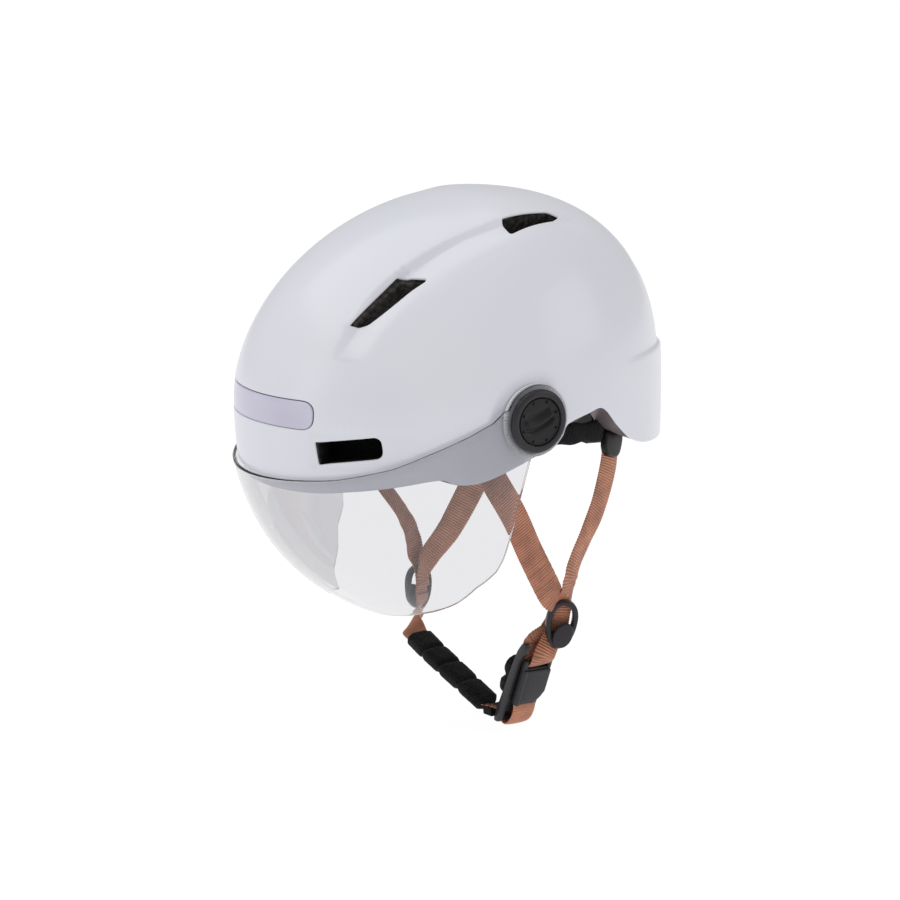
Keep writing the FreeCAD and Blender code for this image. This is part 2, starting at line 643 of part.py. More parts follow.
screws = []
for side, sign in SIDES:
    for index, (a, b) in enumerate(((1, 1), (1, -1), (-1, 1), (-1, -1))):
        x = f"{a} * Sizes.screw_circle * sqrt(0.5)"
        y = f"{b} * Sizes.screw_circle * sqrt(0.5)"
        head = cylinder(f"screw_head_{side}_{index}", "Sizes.screw_head_radius", "Sizes.screw_head_thick",
                        "Sizes.screw_start", x, y)
        shank = cylinder(f"screw_shank_{side}_{index}", "Sizes.screw_radius", "Sizes.screw_length",
                         "Sizes.screw_start", x, y)
        screw = fused(f"screw_{side}_{index}", [head, shank])
        screw.Placement = side_frame(sign)
        screws.append(screw)
screw_group = doc.addObject("Part::Compound", "screw_group")
screw_group.Links = screws
named(screw_group, "insert_screws")


# ---------------------------------------------------------------- head-fit system, in its own tilted frame
FIT = FreeCAD.Placement(V(0, size("temple_y"), size("temple_z")), FreeCAD.Rotation(V(1, 0, 0),
                                                                                   -size("fit_tilt")))


def band_arc(half_width, length, first_y, last_x):
    """Part of an ellipse from a place beside the temple to one behind the head."""
    centre = V(0, size("band_centre"), 0)
    first = math.asin(max(-1, (first_y - centre.y) / length))
    last = math.acos(last_x / half_width)
    points = []
    for index in range(15):
        turn = first + (last - first) * index / 14
        points.append(V(half_width * math.cos(turn), centre.y + length * math.sin(turn), 0))
    curve = Part.BSplineCurve()
    curve.interpolate(points)
    return curve, points


def fit_arm(sign):
    wall = size("band_wall")
    inner, inner_points = band_arc(size("band_half_width"), size("band_length"), size("band_front"),
                                   size("band_end_x"))
    outer, outer_points = band_arc(size("band_half_width") + wall, size("band_length") + wall,
                                   size("band_front"), size("band_end_x"))
    edges = [inner.toShape(), Part.makeLine(inner_points[-1], outer_points[-1]), outer.toShape(),
             Part.makeLine(outer_points[0], inner_points[0])]
    face = Part.Face(Part.Wire(Part.__sortEdges__(edges)))
    face.translate(V(0, 0, -size("band_height") / 2))
    shape = face.extrude(V(0, 0, size("band_height")))
    shape = shape.cut(Part.makeCylinder(size("pin_hole"), 60, V(40, 0, 0), V(1, 0, 0)))
    return shape if sign > 0 else mirrored(shape)


for side, sign in SIDES:
    arm = solid_part(f"fit_arm_{side}", fit_arm(sign))
    arm.Placement = FIT
pins = []
for side, sign in SIDES:
    shank = cylinder(f"pin_shank_{side}", "Sizes.pin_radius", "Sizes.pin_length", "Sizes.pin_start")
    head = cylinder(f"pin_head_{side}", "Sizes.pin_head_radius", "Sizes.pin_head_thick", "Sizes.pin_start")
    pin = fused(f"pin_{side}", [shank, head])
    pin.Placement = FreeCAD.Placement(V(0, size("temple_y"), size("temple_z")), FreeCAD.Rotation(V(0, 1, 0),
                                                                                                 90 * sign))
    pins.append(pin)
pin_group = doc.addObject("Part::Compound", "pin_group")
pin_group.Links = pins
named(pin_group, "temple_pins")


def tooth_flank(radius, base_radius):
    """Angle that an involute has turned by at a radius."""
    if radius <= base_radius:
        return 0.0
    roll = math.sqrt((radius / base_radius) ** 2 - 1)
    return roll - math.atan(roll)


def pinion_outline():
    """Gear outline with involute flanks, one tooth pointing up and one pointing down."""
    teeth = int(size("gear_teeth"))
    pitch_radius = size("gear_modulus") * teeth / 2
    base_radius = pitch_radius * math.cos(math.radians(size("pressure_angle")))
    tip = pitch_radius + size("gear_addendum")
    root = pitch_radius - size("gear_dedendum")
    half_tooth = (math.pi * size("gear_modulus") / 2 - size("gear_backlash")) / (2 * pitch_radius)
    half_tooth += tooth_flank(pitch_radius, base_radius)
    radii = [root] + [base_radius + (tip - base_radius) * step / 5 for step in range(6)]
    points = []
    for tooth in range(teeth):
        middle = math.pi / 2 + 2 * math.pi * tooth / teeth
        rise = [(radius, middle - half_tooth + tooth_flank(radius, base_radius)) for radius in radii]
        fall = [(radius, 2 * middle - turn) for radius, turn in reversed(rise)]
        points += [V(radius * math.cos(turn), 0, radius * math.sin(turn)) for radius, turn in rise + fall]
    return points


def rack_outline(start, stop):
    """Side view of a rack below the pinion, from one end to the other, with a space at X = 0."""
    pitch = math.pi * size("gear_modulus")
    pitch_line = -size("gear_modulus") * size("gear_teeth") / 2
    slope = math.tan(math.radians(size("pressure_angle")))
    top = pitch_line + size("gear_addendum")
    foot = pitch_line - size("gear_dedendum")
    half_tooth = pitch / 4 - size("gear_backlash") / 2
    points = [V(start, 0, foot)]
    first = math.ceil((start + pitch / 2) / pitch)
    last = math.floor((min(stop, 24) - pitch / 2) / pitch)
    for index in range(first, last):
        middle = (index + 0.5) * pitch
        low_half = half_tooth + slope * size("gear_dedendum")
        top_half = half_tooth - slope * size("gear_addendum")
        points += [V(middle - low_half, 0, foot), V(middle - top_half, 0, top),
                   V(middle + top_half, 0, top),
                   V(middle + low_half, 0, foot)]
    points.append(V(stop, 0, foot))
    points.append(V(stop, 0, foot - size("rack_back")))
    points.append(V(start, 0, foot - size("rack_back")))
    return points


def extruded(points, start, length):
    face = Part.Face(Part.makePolygon(points + [points[0]]))
    face.translate(V(0, start, 0))
    return face.extrude(V(0, length, 0))


left_rack = extruded(rack_outline(-size("rack_inner_end"), size("rack_outer_end")), size("rack_y"),
                     size("rack_thick"))
right_rack = mirrored(left_rack).mirror(V(0, 0, 0), V(0, 0, 1))
for side, shape in (("left", left_rack), ("right", right_rack)):
    rack = solid_part(f"rack_{side}", shape)
    rack.Placement = FIT

housing = size("housing_half_width")
rise = size("housing_half_height")
wall = size("housing_wall")
front = size("housing_front")
depth = size("housing_depth")
cup = Part.makeBox(2 * housing, depth, 2 * rise, V(-housing, front, -rise))
cup = cup.makeFillet(size("housing_corner"),
                     [edge for edge in cup.Edges if abs(edge.tangentAt(edge.FirstParameter).y) > 0.99])
hollow = Part.makeBox(2 * (housing - wall), depth, 2 * (rise - wall), V(-housing + wall, front + wall,
                                                                        -rise + wall))
cup = cup.cut(hollow)
rack_room = 0.35
slot_low = -rise + wall
windows = Part.makeBox(2 * housing + 4, size("rack_thick") + 2 * rack_room, 2 * (rise - wall),
                       V(-housing - 2, size("rack_y") - rack_room, slot_low))
cup = cup.cut(windows)
cup = cup.cut(Part.makeCylinder(size("shaft_hole"), 4 * wall, V(0, front - wall, 0), V(0, 1, 0)))
solid_part("dial_housing", cup).Placement = FIT
cover = Part.makeBox(2 * housing, size("cover_thick"), 2 * rise, V(-housing, front + depth + 0.05, -rise))
cover = cover.makeFillet(size("housing_corner"),
                         [edge for edge in cover.Edges if abs(edge.tangentAt(edge.FirstParameter).y) > 0.99])
cover = cover.cut(Part.makeCylinder(size("shaft_hole"), 4 * wall, V(0, front + depth - wall, 0),
                                    V(0, 1, 0)))
solid_part("dial_cover", cover).Placement = FIT

pinion = extruded(pinion_outline(), size("rack_y") - 0.2, size("rack_thick") + 0.4)
dial_start = size("dial_start")
shaft = Part.makeCylinder(size("shaft_radius"), dial_start - front + 0.5, V(0, front + 0.2, 0), V(0, 1, 0))
wheel = Part.makeCylinder(size("dial_radius"), size("dial_thick"), V(0, dial_start, 0), V(0, 1, 0))
grooves = []
count = int(size("dial_grooves"))
for index in range(count):
    turn = 2 * math.pi * index / count
    centre = V(size("dial_radius") * math.cos(turn), dial_start - 1, size("dial_radius") * math.sin(turn))
    grooves.append(Part.makeCylinder(size("dial_groove_radius"), size("dial_thick") + 2, centre,
                                     V(0, 1, 0)))
dial_shape = wheel.cut(grooves).fuse([shaft, pinion])
solid_part("fit_dial", dial_shape.removeSplitter()).Placement = FIT

# ---------------------------------------------------------------- straps, anchors and guides
for side, sign in SIDES:
    route, looks = FRONT_ROUTES[side]
    solid_part(f"front_strap_{side}", ribbon(route, looks, size("web_width"), size("web_thick")))
    route, looks = REAR_ROUTES[side]
    solid_part(f"rear_strap_{side}", ribbon(route, looks, size("web_width"), size("web_thick")))
anchors = []
for routes in (FRONT_ROUTES, REAR_ROUTES):
    for side, sign in SIDES:
        route, looks = routes[side]
        run = (V(route[0]) - V(route[1])).normalize()
        start = V(route[0]) + run * 0.3
        anchors.append(ribbon([start, start + run * size("anchor_height")], [looks[0]] * 2,
                              size("anchor_length"), size("anchor_thick")))
solid_part("strap_anchors", Part.makeCompound(anchors))
for side, sign in SIDES:
    route, looks = REAR_ROUTES[side]
    run = (V(route[2]) - V(route[1])).normalize()
    top = V(route[1]) + run * 6.5
    bottom = top + run * size("guide_height")
    ring = ribbon([top, bottom], [looks[1]] * 2, size("guide_width"), size("guide_thick"))
    hole = ribbon([top - run * 2, bottom + run * 2], [looks[1]] * 2, size("web_width") + size("guide_play"),
                  size("web_thick") + 2 * size("guide_play"))
    solid_part(f"strap_guide_{side}", ring.cut(hole))

for side, sign in SIDES:
    middle, up, look = DIVIDERS[side]
    across = V(up).cross(V(look))
    place = axis_frame(middle, across, up)
    plate = doc.addObject("Part::Box", f"divider_plate_{side}")
    bind(plate, Length="Sizes.divider_width", Width="Sizes.divider_height", Height="Sizes.divider_thick")
    plate.setExpression("Placement.Base.x", "-Sizes.divider_width / 2")
    plate.setExpression("Placement.Base.y", "-Sizes.divider_height / 2")
    plate.setExpression("Placement.Base.z", "-Sizes.divider_thick")
    opening = block(f"divider_opening_{side}", "Sizes.divider_opening_width",
                    "Sizes.divider_opening_height",
                    "Sizes.divider_thick * 3", "-Sizes.divider_opening_width / 2",
                    "Sizes.divider_opening_rise - Sizes.divider_opening_height / 2", "-Sizes.divider_thick * 2")
    rounding = doc.addObject("Part::Fillet", f"divider_round_{side}")
    rounding.Base = plate
    doc.recompute()
    upright = [i + 1 for i, edge in enumerate(plate.Shape.Edges)
               if abs(edge.tangentAt(edge.FirstParameter).z) > 0.99]
    rounding.Edges = [(index, 7.0, 7.0) for index in upright]
    divider = cut(f"divider_{side}", rounding, opening)
    divider.Placement = place
    named(divider, f"strap_divider_{side}")
    flap = doc.addObject("Part::Box", f"flap_{side}")
    bind(flap, Length="Sizes.lock_width", Width="Sizes.lock_height", Height="Sizes.lock_thick")
    flap.setExpression("Placement.Base.x", "-Sizes.lock_width / 2")
    flap.setExpression("Placement.Base.y", "Sizes.lock_drop - Sizes.lock_height / 2")
    flap.setExpression("Placement.Base.z", "Sizes.lock_lift")
    doc.recompute()
    lock = doc.addObject("Part::Fillet", f"lock_{side}")
    lock.Base = flap
    low_end = size("lock_drop") - size("lock_height") / 2
    hinge_edges = []
    free_edges = []
    for index, edge in enumerate(flap.Shape.Edges, start=1):
        centre = edge.BoundBox.Center
        if abs(centre.y - low_end) < 0.01 and abs(edge.tangentAt(edge.FirstParameter).x) > 0.99:
            hinge_edges.append(index)
        elif centre.y > 0 and abs(edge.tangentAt(edge.FirstParameter).z) > 0.99:
            free_edges.append(index)
    hinge_round = size("lock_thick") / 2 - 0.01
    lock.Edges = ([(index, hinge_round, hinge_round) for index in hinge_edges]
                  + [(index, size("lock_corner"), size("lock_corner")) for index in free_edges])
    lock.Placement = place
    named(lock, f"divider_lock_{side}")

# ---------------------------------------------------------------- buckle
plate = block("plate_body", "Sizes.plate_width", "Sizes.plate_length", "Sizes.plate_thick",
              "-Sizes.plate_width / 2", "Sizes.plate_low", "0")
rib = block("plate_rib", "Sizes.plate_width", "Sizes.rib_height", "Sizes.rib_depth",
            "-Sizes.plate_width / 2", "-Sizes.rib_height / 2", "-Sizes.rib_depth")
arms = []
for index, sign in enumerate((1, -1)):
    arms.append(block(f"plate_arm_{index}", "Sizes.bar_arm", "Sizes.bar_reach + Sizes.bar_radius",
                      "Sizes.bar_radius * 2",
                      "Sizes.plate_width / 2 - Sizes.bar_arm" if sign > 0 else "-Sizes.plate_width / 2",
                      "Sizes.plate_low + Sizes.plate_length", "0.4"))
bar = doc.addObject("Part::Cylinder", "plate_bar")
bind(bar, Radius="Sizes.bar_radius", Height="Sizes.plate_width")
bar.Placement = FreeCAD.Placement(
    V(-size("plate_width") / 2, size("plate_low") + size("plate_length") + size("bar_reach"),
      size("bar_radius") + 0.4),
    FreeCAD.Rotation(V(0, 1, 0), 90))
plate_pocket = cylinder("plate_magnet_pocket", "Sizes.magnet_hole", "Sizes.magnet_thick + 0.1",
                        "-Sizes.rib_depth - 0.05")
plate_part = cut("plate_part", fused("plate_solid", [plate, rib, bar] + arms), plate_pocket)
plate_part.Placement = BUCKLE
named(plate_part, "buckle_plate")


def magnet(label, rise):
    disc = doc.addObject("Part::Cylinder", label)
    bind(disc, Radius="Sizes.magnet_radius", Height="Sizes.magnet_thick")
    disc.Placement = BUCKLE.multiply(FreeCAD.Placement(V(0, 0, rise), FreeCAD.Rotation()))
    named(disc, label)


magnet("plate_magnet", -size("rib_depth"))

base = block("base_body", "Sizes.base_width", "Sizes.base_length", "Sizes.base_thick",
             "-Sizes.base_width / 2", "Sizes.base_low", "Sizes.base_top - Sizes.base_thick")
channel = block("base_channel", "Sizes.base_width * 2", "Sizes.groove_height", "Sizes.groove_depth",
                "-Sizes.base_width", "-Sizes.groove_height / 2", "Sizes.base_top - Sizes.groove_depth")
base_arms = []
for index, sign in enumerate((1, -1)):
    base_arms.append(block(f"base_arm_{index}", "Sizes.bar_arm", "Sizes.bar_reach + Sizes.bar_radius",
                           "Sizes.base_thick",
                           "Sizes.base_width / 2 - Sizes.bar_arm" if sign > 0 else "-Sizes.base_width / 2",
                           "Sizes.base_low - Sizes.bar_reach - Sizes.bar_radius", "Sizes.base_top - Sizes.base_thick"))
low_bar = doc.addObject("Part::Cylinder", "base_bar")
bind(low_bar, Radius="Sizes.bar_radius", Height="Sizes.base_width")
low_bar.Placement = FreeCAD.Placement(
    V(-size("base_width") / 2, size("base_low") - size("bar_reach"),
      size("base_top") - size("base_thick") / 2),
    FreeCAD.Rotation(V(0, 1, 0), 90))
base_pocket = cylinder("base_magnet_pocket", "Sizes.magnet_hole", "Sizes.magnet_thick + 0.1",
                       "Sizes.base_top - Sizes.groove_depth - Sizes.magnet_thick - 0.05")
base_part = cut("base_part", fused("base_solid", [base, low_bar] + base_arms),
                fused("base_openings", [channel, base_pocket]))
base_part.Placement = BUCKLE
named(base_part, "buckle_base")
magnet("base_magnet", size("base_top") - size("groove_depth") - size("magnet_thick"))
fleece = doc.addObject("Part::Box", "fleece")
bind(fleece, Length="Sizes.fleece_width", Width="Sizes.fleece_length", Height="Sizes.fleece_thick")
fleece.Placement = BUCKLE.multiply(FreeCAD.Placement(
    V(-size("fleece_width") / 2, -size("fleece_length") * 0.42,
      size("base_top") - size("base_thick") - size("fleece_thick") - 0.1),
    FreeCAD.Rotation()))
named(fleece, "buckle_pad")

# ---------------------------------------------------------------- chin straps, keeper and chin pad
def divider_place(side, rise, out):
    """A point of a divider's own frame, the way its width runs and the way it looks."""
    middle, up, look = DIVIDERS[side]
    place = axis_frame(middle, V(up).cross(V(look)), up)
    turn = place.Rotation
    return place.multVec(V(0, rise, out)), turn.multVec(V(1, 0, 0)), turn.multVec(V(0, 0, 1))


across_buckle = BUCKLE.Rotation.multVec(V(1, 0, 0))
out_of_buckle = BUCKLE.Rotation.multVec(V(0, 0, 1))
loop_width = size("web_width") * 0.86
loop_top, loop_side, loop_look = divider_place("left", -10.5, -size("divider_thick") - 2.6)
loop_low = buckle_point(0, size("plate_low") + size("plate_length") + size("bar_reach") + 3, 2.3)
solid_part("chin_strap_left", lofted([
    band_section(loop_top, loop_side, loop_look, loop_width, size("web_thick")),
    band_section(loop_low, across_buckle, out_of_buckle, loop_width, size("web_thick")),
]))

PAD_ROUTE = [(-42, 4.3, -173.8), (-24, 3.2, -178), (-3, 3, -183), (17, 5, -190), (33, 8.6, -197.6)]
PAD_LOOK = V(-0.2, 0, 1)
PAD_GAP = 0.4
solid_part("chin_pad", ribbon(PAD_ROUTE, [PAD_LOOK] * len(PAD_ROUTE), size("chin_pad_width"),
                              size("chin_pad_thick")))


def pad_end_section(end, inner):
    """The webbing's cross-section where it leaves the pad."""
    run = (V(end) - V(inner)).normalize()
    return band_section(V(end) + run * PAD_GAP, run.cross(PAD_LOOK), PAD_LOOK, size("web_width"),
                        size("web_thick"))


right_top, right_side, _ = divider_place("right", -size("divider_height") / 2 - 1.6,
                                                  -size("divider_thick") / 2)
right_start = band_section(right_top, right_side * -1, V(-0.6, 0, 1), size("web_width"), size("web_thick"))
solid_part("chin_strap_right", lofted([right_start, pad_end_section(PAD_ROUTE[0], PAD_ROUTE[1])]))

low_bar_out = size("base_top") - size("base_thick") - size("web_thick") / 2 - 0.5
end_stop = buckle_point(0, size("base_low") - size("bar_reach"), low_bar_out)
end_start = V(PAD_ROUTE[-1]) + (V(PAD_ROUTE[-1]) - V(PAD_ROUTE[-2])).normalize() * PAD_GAP
end_start_side = (V(PAD_ROUTE[-1]) - V(PAD_ROUTE[-2])).cross(PAD_LOOK).normalize()
end_stop_side = across_buckle * -1
end_stop_look = V(-0.3, 0, 1)


def end_section(share, width, thick):
    """Cross-section part of the way along the webbing between the pad and the buckle."""
    centre = end_start * (1 - share) + end_stop * share
    side = end_start_side * (1 - share) + end_stop_side * share
    look = PAD_LOOK * (1 - share) + end_stop_look * share
    return band_section(centre, side, look, width, thick)


solid_part("chin_strap_end",
           lofted([end_section(share, size("web_width"), size("web_thick")) for share in (0, 1)]))

# A flat black ring round that webbing keeps its loose end down.
keeper_hole = lofted([end_section(share, size("web_width") + 2 * size("keeper_play"),
                                  size("web_thick") + 2 * size("keeper_play")) for share in (0.1, 0.9)])
keeper_block = lofted([end_section(share, size("keeper_width"), size("keeper_thick")) for share in (0.32,
                                                                                                    0.68)])
solid_part("strap_keeper", keeper_block.cut(keeper_hole))


def finish():
    """Stop on any failed object, then write one STEP file for each sub-part."""
    doc.recompute()
    for thing in doc.Objects:
        if "Invalid" in thing.State or "Error" in thing.State:
            raise RuntimeError(f"{thing.Name} is {thing.State}")
    for part in nodes:
        if part.Shape.isNull() or not part.Shape.isValid():
            raise RuntimeError(f"{part.Label} has a bad shape")
    os.makedirs("parts", exist_ok=True)
    for part in nodes:
        part.Shape.exportStep(f"parts/{part.Label}.step")
        box = part.Shape.BoundBox
        print(part.Label, len(part.Shape.Solids), round(part.Shape.Volume),
              [round(value, 1) for value in (box.XMin, box.YMin, box.ZMin, box.XMax, box.YMax, box.ZMax)])


finish()
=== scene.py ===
"""Looks of the helmet around its CAD frame, in millimetres; camera, lamps and floor are in metres."""

import bmesh
import bpy
import math
import numpy as np
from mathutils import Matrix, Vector, geometry, kdtree


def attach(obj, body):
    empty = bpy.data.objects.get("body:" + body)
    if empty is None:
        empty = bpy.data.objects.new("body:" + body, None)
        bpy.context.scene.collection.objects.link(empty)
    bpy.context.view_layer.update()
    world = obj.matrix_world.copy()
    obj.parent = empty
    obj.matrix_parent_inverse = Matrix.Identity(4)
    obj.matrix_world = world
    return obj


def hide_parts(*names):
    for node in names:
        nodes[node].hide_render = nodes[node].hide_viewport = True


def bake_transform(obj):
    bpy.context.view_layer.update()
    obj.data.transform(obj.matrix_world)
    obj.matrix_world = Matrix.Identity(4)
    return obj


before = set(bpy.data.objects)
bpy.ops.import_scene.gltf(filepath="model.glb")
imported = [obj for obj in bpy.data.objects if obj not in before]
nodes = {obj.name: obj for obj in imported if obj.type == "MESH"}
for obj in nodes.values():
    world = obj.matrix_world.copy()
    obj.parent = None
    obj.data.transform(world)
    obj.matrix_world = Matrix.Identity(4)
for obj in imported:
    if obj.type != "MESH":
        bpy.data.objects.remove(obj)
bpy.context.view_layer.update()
MM = 0.001
scene = bpy.context.scene
SIDES = (("left", 1), ("right", -1))
PIVOT_Y = -4.0


def unit(vector):
    """A vector of length one."""
    vector = np.asarray(vector, float)
    return vector / np.linalg.norm(vector)


def units(vectors):
    """Rows of vectors, each made one long."""
    return vectors / np.linalg.norm(vectors, axis=1)[:, None]


def full_turn(count):
    """Angles spread evenly round a full turn."""
    return np.linspace(0, 2 * math.pi, count, endpoint=False)


# ---------------------------------------------------------------- camera
CAMERA_AZIMUTH = math.radians(57.5)
CAMERA_ELEVATION = math.radians(12.5)
CAMERA_DISTANCE = 1.7
back = Vector((math.sin(CAMERA_AZIMUTH) * math.cos(CAMERA_ELEVATION),
               -math.cos(CAMERA_AZIMUTH) * math.cos(CAMERA_ELEVATION), math.sin(CAMERA_ELEVATION)))
camera_data = bpy.data.cameras.new("camera")
camera_data.lens = 109.5
camera_data.sensor_width = 36.0
camera_data.shift_x = 0.0019
camera_data.shift_y = -0.0690
camera = bpy.data.objects.new("camera", camera_data)
scene.collection.objects.link(camera)
camera.location = back * CAMERA_DISTANCE
camera.rotation_mode = "QUATERNION"
camera.rotation_quaternion = (-back).to_track_quat("-Z", "Y")
scene.camera = camera
scene.view_settings.view_transform = "Standard"


# ---------------------------------------------------------------- materials
class Nodes:
    """Short ways to add shader nodes to one material."""

    def __init__(self, name):
        self.material = bpy.data.materials.new(name)
        self.material.use_nodes = True
        self.tree = self.material.node_tree
        self.shader = self.tree.nodes["Principled BSDF"]

    def add(self, kind, **inputs):
        node = self.tree.nodes.new(kind)
        for key, value in inputs.items():
            if key in node.inputs:
                self.feed(node.inputs[key], value)
            else:
                setattr(node, key, value)
        return node

    def feed(self, socket, value):
        if isinstance(value, bpy.types.NodeSocket):
            self.tree.links.new(value, socket)
        else:
            socket.default_value = value

    def set(self, **inputs):
        for key, value in inputs.items():
            self.feed(self.shader.inputs[key.replace("_", " ")], value)

    def place(self, scale=(1, 1, 1)):
        """Object coordinates, stretched."""
        coords = self.add("ShaderNodeTexCoord")
        mapping = self.add("ShaderNodeMapping")
        self.tree.links.new(coords.outputs["Object"], mapping.inputs["Vector"])
        mapping.inputs["Scale"].default_value = scale
        return mapping.outputs["Vector"]

    def noise(self, vector, scale, detail=2.0):
        return self.add("ShaderNodeTexNoise", Vector=vector, Scale=scale, Detail=detail).outputs["Fac"]

    def cells(self, vector, scale):
        return self.add("ShaderNodeTexVoronoi", Vector=vector, Scale=scale).outputs["Distance"]

    def math(self, operation, a, b=0.5):
        node = self.add("ShaderNodeMath")
        node.operation = operation
        self.feed(node.inputs[0], a)
        self.feed(node.inputs[1], b)
        return node.outputs[0]

    def ramp(self, factor, stops):
        node = self.add("ShaderNodeValToRGB", Fac=factor)
        elements = node.color_ramp.elements
        while len(elements) < len(stops):
            elements.new(0.5)
        for element, (position, colour) in zip(elements, stops):
            element.position = position
            element.color = (*colour, 1)
        return node.outputs["Color"]

    def spread(self, factor, low, high):
        node = self.add("ShaderNodeMapRange", Value=factor)
        node.inputs["To Min"].default_value = low
        node.inputs["To Max"].default_value = high
        return node.outputs["Result"]

    def bump(self, height, distance):
        """A bump of a height given in millimetres."""
        return self.add("ShaderNodeBump", Height=height, Distance=distance * MM,
                        Strength=1.0).outputs["Normal"]


def paint_material():
    """White paint under a thin clear coat: a slow drift of tone, orange peel and fine flakes."""
    made = Nodes("shell_paint")
    place = made.place()
    drift = made.noise(place, 9.0, 1.0)
    colour = made.ramp(drift, [(0.3, (0.685, 0.695, 0.760)), (0.7, (0.730, 0.735, 0.785))])
    peel = made.noise(place, 380.0, 1.0)
    flakes = made.noise(place, 2600.0, 0.0)
    made.set(Base_Color=colour, Roughness=made.spread(flakes, 0.30, 0.38), Coat_Weight=0.22,
             Coat_Roughness=0.10, IOR=1.48, Normal=made.bump(peel, 0.010))
    made.set(Coat_Normal=made.bump(peel, 0.006))
    return made.material


def foam_material():
    """Black expanded foam: beads a few millimetres across with lighter edges."""
    dark = (0.006, 0.005, 0.005)
    light = (0.060, 0.050, 0.042)
    made = Nodes("bead_foam")
    place = made.place()
    beads = made.cells(place, 330.0)
    grain = made.noise(place, 900.0, 3.0)
    colour = made.ramp(beads, [(0.15, light), (0.75, dark)])
    height = made.math("ADD", made.math("MULTIPLY", made.math("SUBTRACT", 1.0, beads), 0.8),
                       made.math("MULTIPLY", grain, 0.25))
    made.set(Base_Color=colour, Roughness=made.spread(grain, 0.55, 0.85), Normal=made.bump(height, 0.6))
    return made.material


def plastic_material(name, colour, roughness, grain=0.04, wear=0.15):
    """Moulded plastic with a fine spark-eroded texture and slightly lighter worn spots."""
    made = Nodes(name)
    place = made.place()
    fine = made.noise(place, 2200.0, 2.0)
    patches = made.noise(place, 60.0, 3.0)
    worn = tuple(part + (0.25 - part) * wear * 0.25 for part in colour)
    tint = made.ramp(patches, [(0.35, colour), (0.75, worn)])
    mix = made.math("ADD", made.math("MULTIPLY", fine, 0.5), made.math("MULTIPLY", patches, 0.5))
    made.set(Base_Color=tint, Roughness=made.spread(mix, roughness - 0.07, roughness + 0.08),
             Normal=made.bump(fine, grain), Specular_IOR_Level=0.26)
    return made.material


def webbing_material():
    """Copper polyamide webbing: fine warp threads between the woven ribs, with a silky sheen, painted
    highlights on the ribs and painted shade between them.
    """
    made = Nodes("copper_webbing")
    run = made.add("ShaderNodeUVMap").outputs["UV"]
    along = made.add("ShaderNodeSeparateXYZ", Vector=run)
    threads = made.add("ShaderNodeTexWave", Vector=run, Scale=0.62, Distortion=1.2)
    threads.inputs["Detail"].default_value = 1.0
    threads.bands_direction = "X"
    fibres = made.noise(made.place(), 1800.0, 3.0)
    tone = made.noise(made.place(), 85.0, 2.0)
    turns = made.math("MULTIPLY", along.outputs["Y"], 2 * math.pi / RIB_PITCH)
    # A wave along the band paints each rib's crest lighter and the gap after it darker: painted highlight
    # and painted shade.
    rib = made.math("MULTIPLY", made.math("SINE", turns, 0.0), 0.5)
    cloud = made.math("ADD", made.math("MULTIPLY", tone, 0.45), made.math("MULTIPLY", fibres, 0.25))
    tone_and_painted_rib_light = made.math("ADD", cloud, made.math("MULTIPLY", rib, 0.22))
    # Random tone and fibres together with the painted rib highlight and shade, from dark to light copper.
    colour = made.ramp(tone_and_painted_rib_light, [(0.10, (0.125, 0.040, 0.020)), (0.42, (0.49, 0.178, 0.088)),
                               (0.80, (0.90, 0.430, 0.255))])
    height = made.math("ADD", made.math("MULTIPLY", threads.outputs["Fac"], 0.7),
                       made.math("MULTIPLY", fibres, 0.4))
    made.set(Base_Color=colour, Roughness=made.spread(fibres, 0.36, 0.56), Anisotropic=0.4,
             Sheen_Weight=0.08, Sheen_Roughness=0.35, Sheen_Tint=(1.0, 0.78, 0.68, 1),
             Normal=made.bump(height, 0.10), Specular_IOR_Level=0.75)
    return made.material


def fabric_material(name, dark, light, scale=900.0, pile=0.25):
    """Brushed knit: small loops with a soft sheen."""
    made = Nodes(name)
    place = made.place()
    loops = made.cells(place, scale)
    fluff = made.noise(place, scale * 1.7, 4.0)
    tone = made.noise(place, 45.0, 2.0)
    mix = made.math("ADD", made.math("MULTIPLY", loops, 0.6), made.math("MULTIPLY", tone, 0.4))
    colour = made.ramp(mix, [(0.2, light), (0.7, dark)])
    height = made.math("ADD", made.math("SUBTRACT", 1.0, loops), made.math("MULTIPLY", fluff, 0.6))
    made.set(Base_Color=colour, Roughness=0.95, Sheen_Weight=0.06, Sheen_Roughness=0.5,
             Normal=made.bump(height, pile), Specular_IOR_Level=0.15)
    return made.material


def glass_material():
    """Clear polycarbonate with a faint tint, which casts hardly any shadow."""
    made = Nodes("clear_polycarbonate")
    place = made.place()
    haze = made.noise(place, 30.0, 2.0)
    made.set(Base_Color=(0.76, 0.76, 0.78, 1), Roughness=made.spread(haze, 0.0, 0.03), IOR=1.50,
             Transmission_Weight=1.0)
    clear = made.add("ShaderNodeBsdfTransparent", Color=(0.92, 0.92, 0.93, 1))
    shadow_ray = made.add("ShaderNodeLightPath").outputs["Is Shadow Ray"]
    mixed = made.add("ShaderNodeMixShader", Fac=shadow_ray)
    made.feed(mixed.inputs[1], made.shader.outputs["BSDF"])
    made.feed(mixed.inputs[2], clear.outputs["BSDF"])
    made.feed(made.tree.nodes["Material Output"].inputs["Surface"], mixed.outputs["Shader"])
    return made.material


def reflector_material():
    """Lavender film with tiny prisms and a slight cloudiness."""
    made = Nodes("reflector_lavender")
    place = made.place()
    prisms = made.cells(place, 620.0)
    cloud = made.noise(place, 22.0, 2.0)
    colour = made.ramp(cloud, [(0.3, (0.50, 0.475, 0.60)), (0.7, (0.57, 0.55, 0.67))])
    made.set(Base_Color=colour, Roughness=made.spread(prisms, 0.24, 0.42), Coat_Weight=0.5,
             Coat_Roughness=0.08, Normal=made.bump(prisms, 0.03))
    return made.material


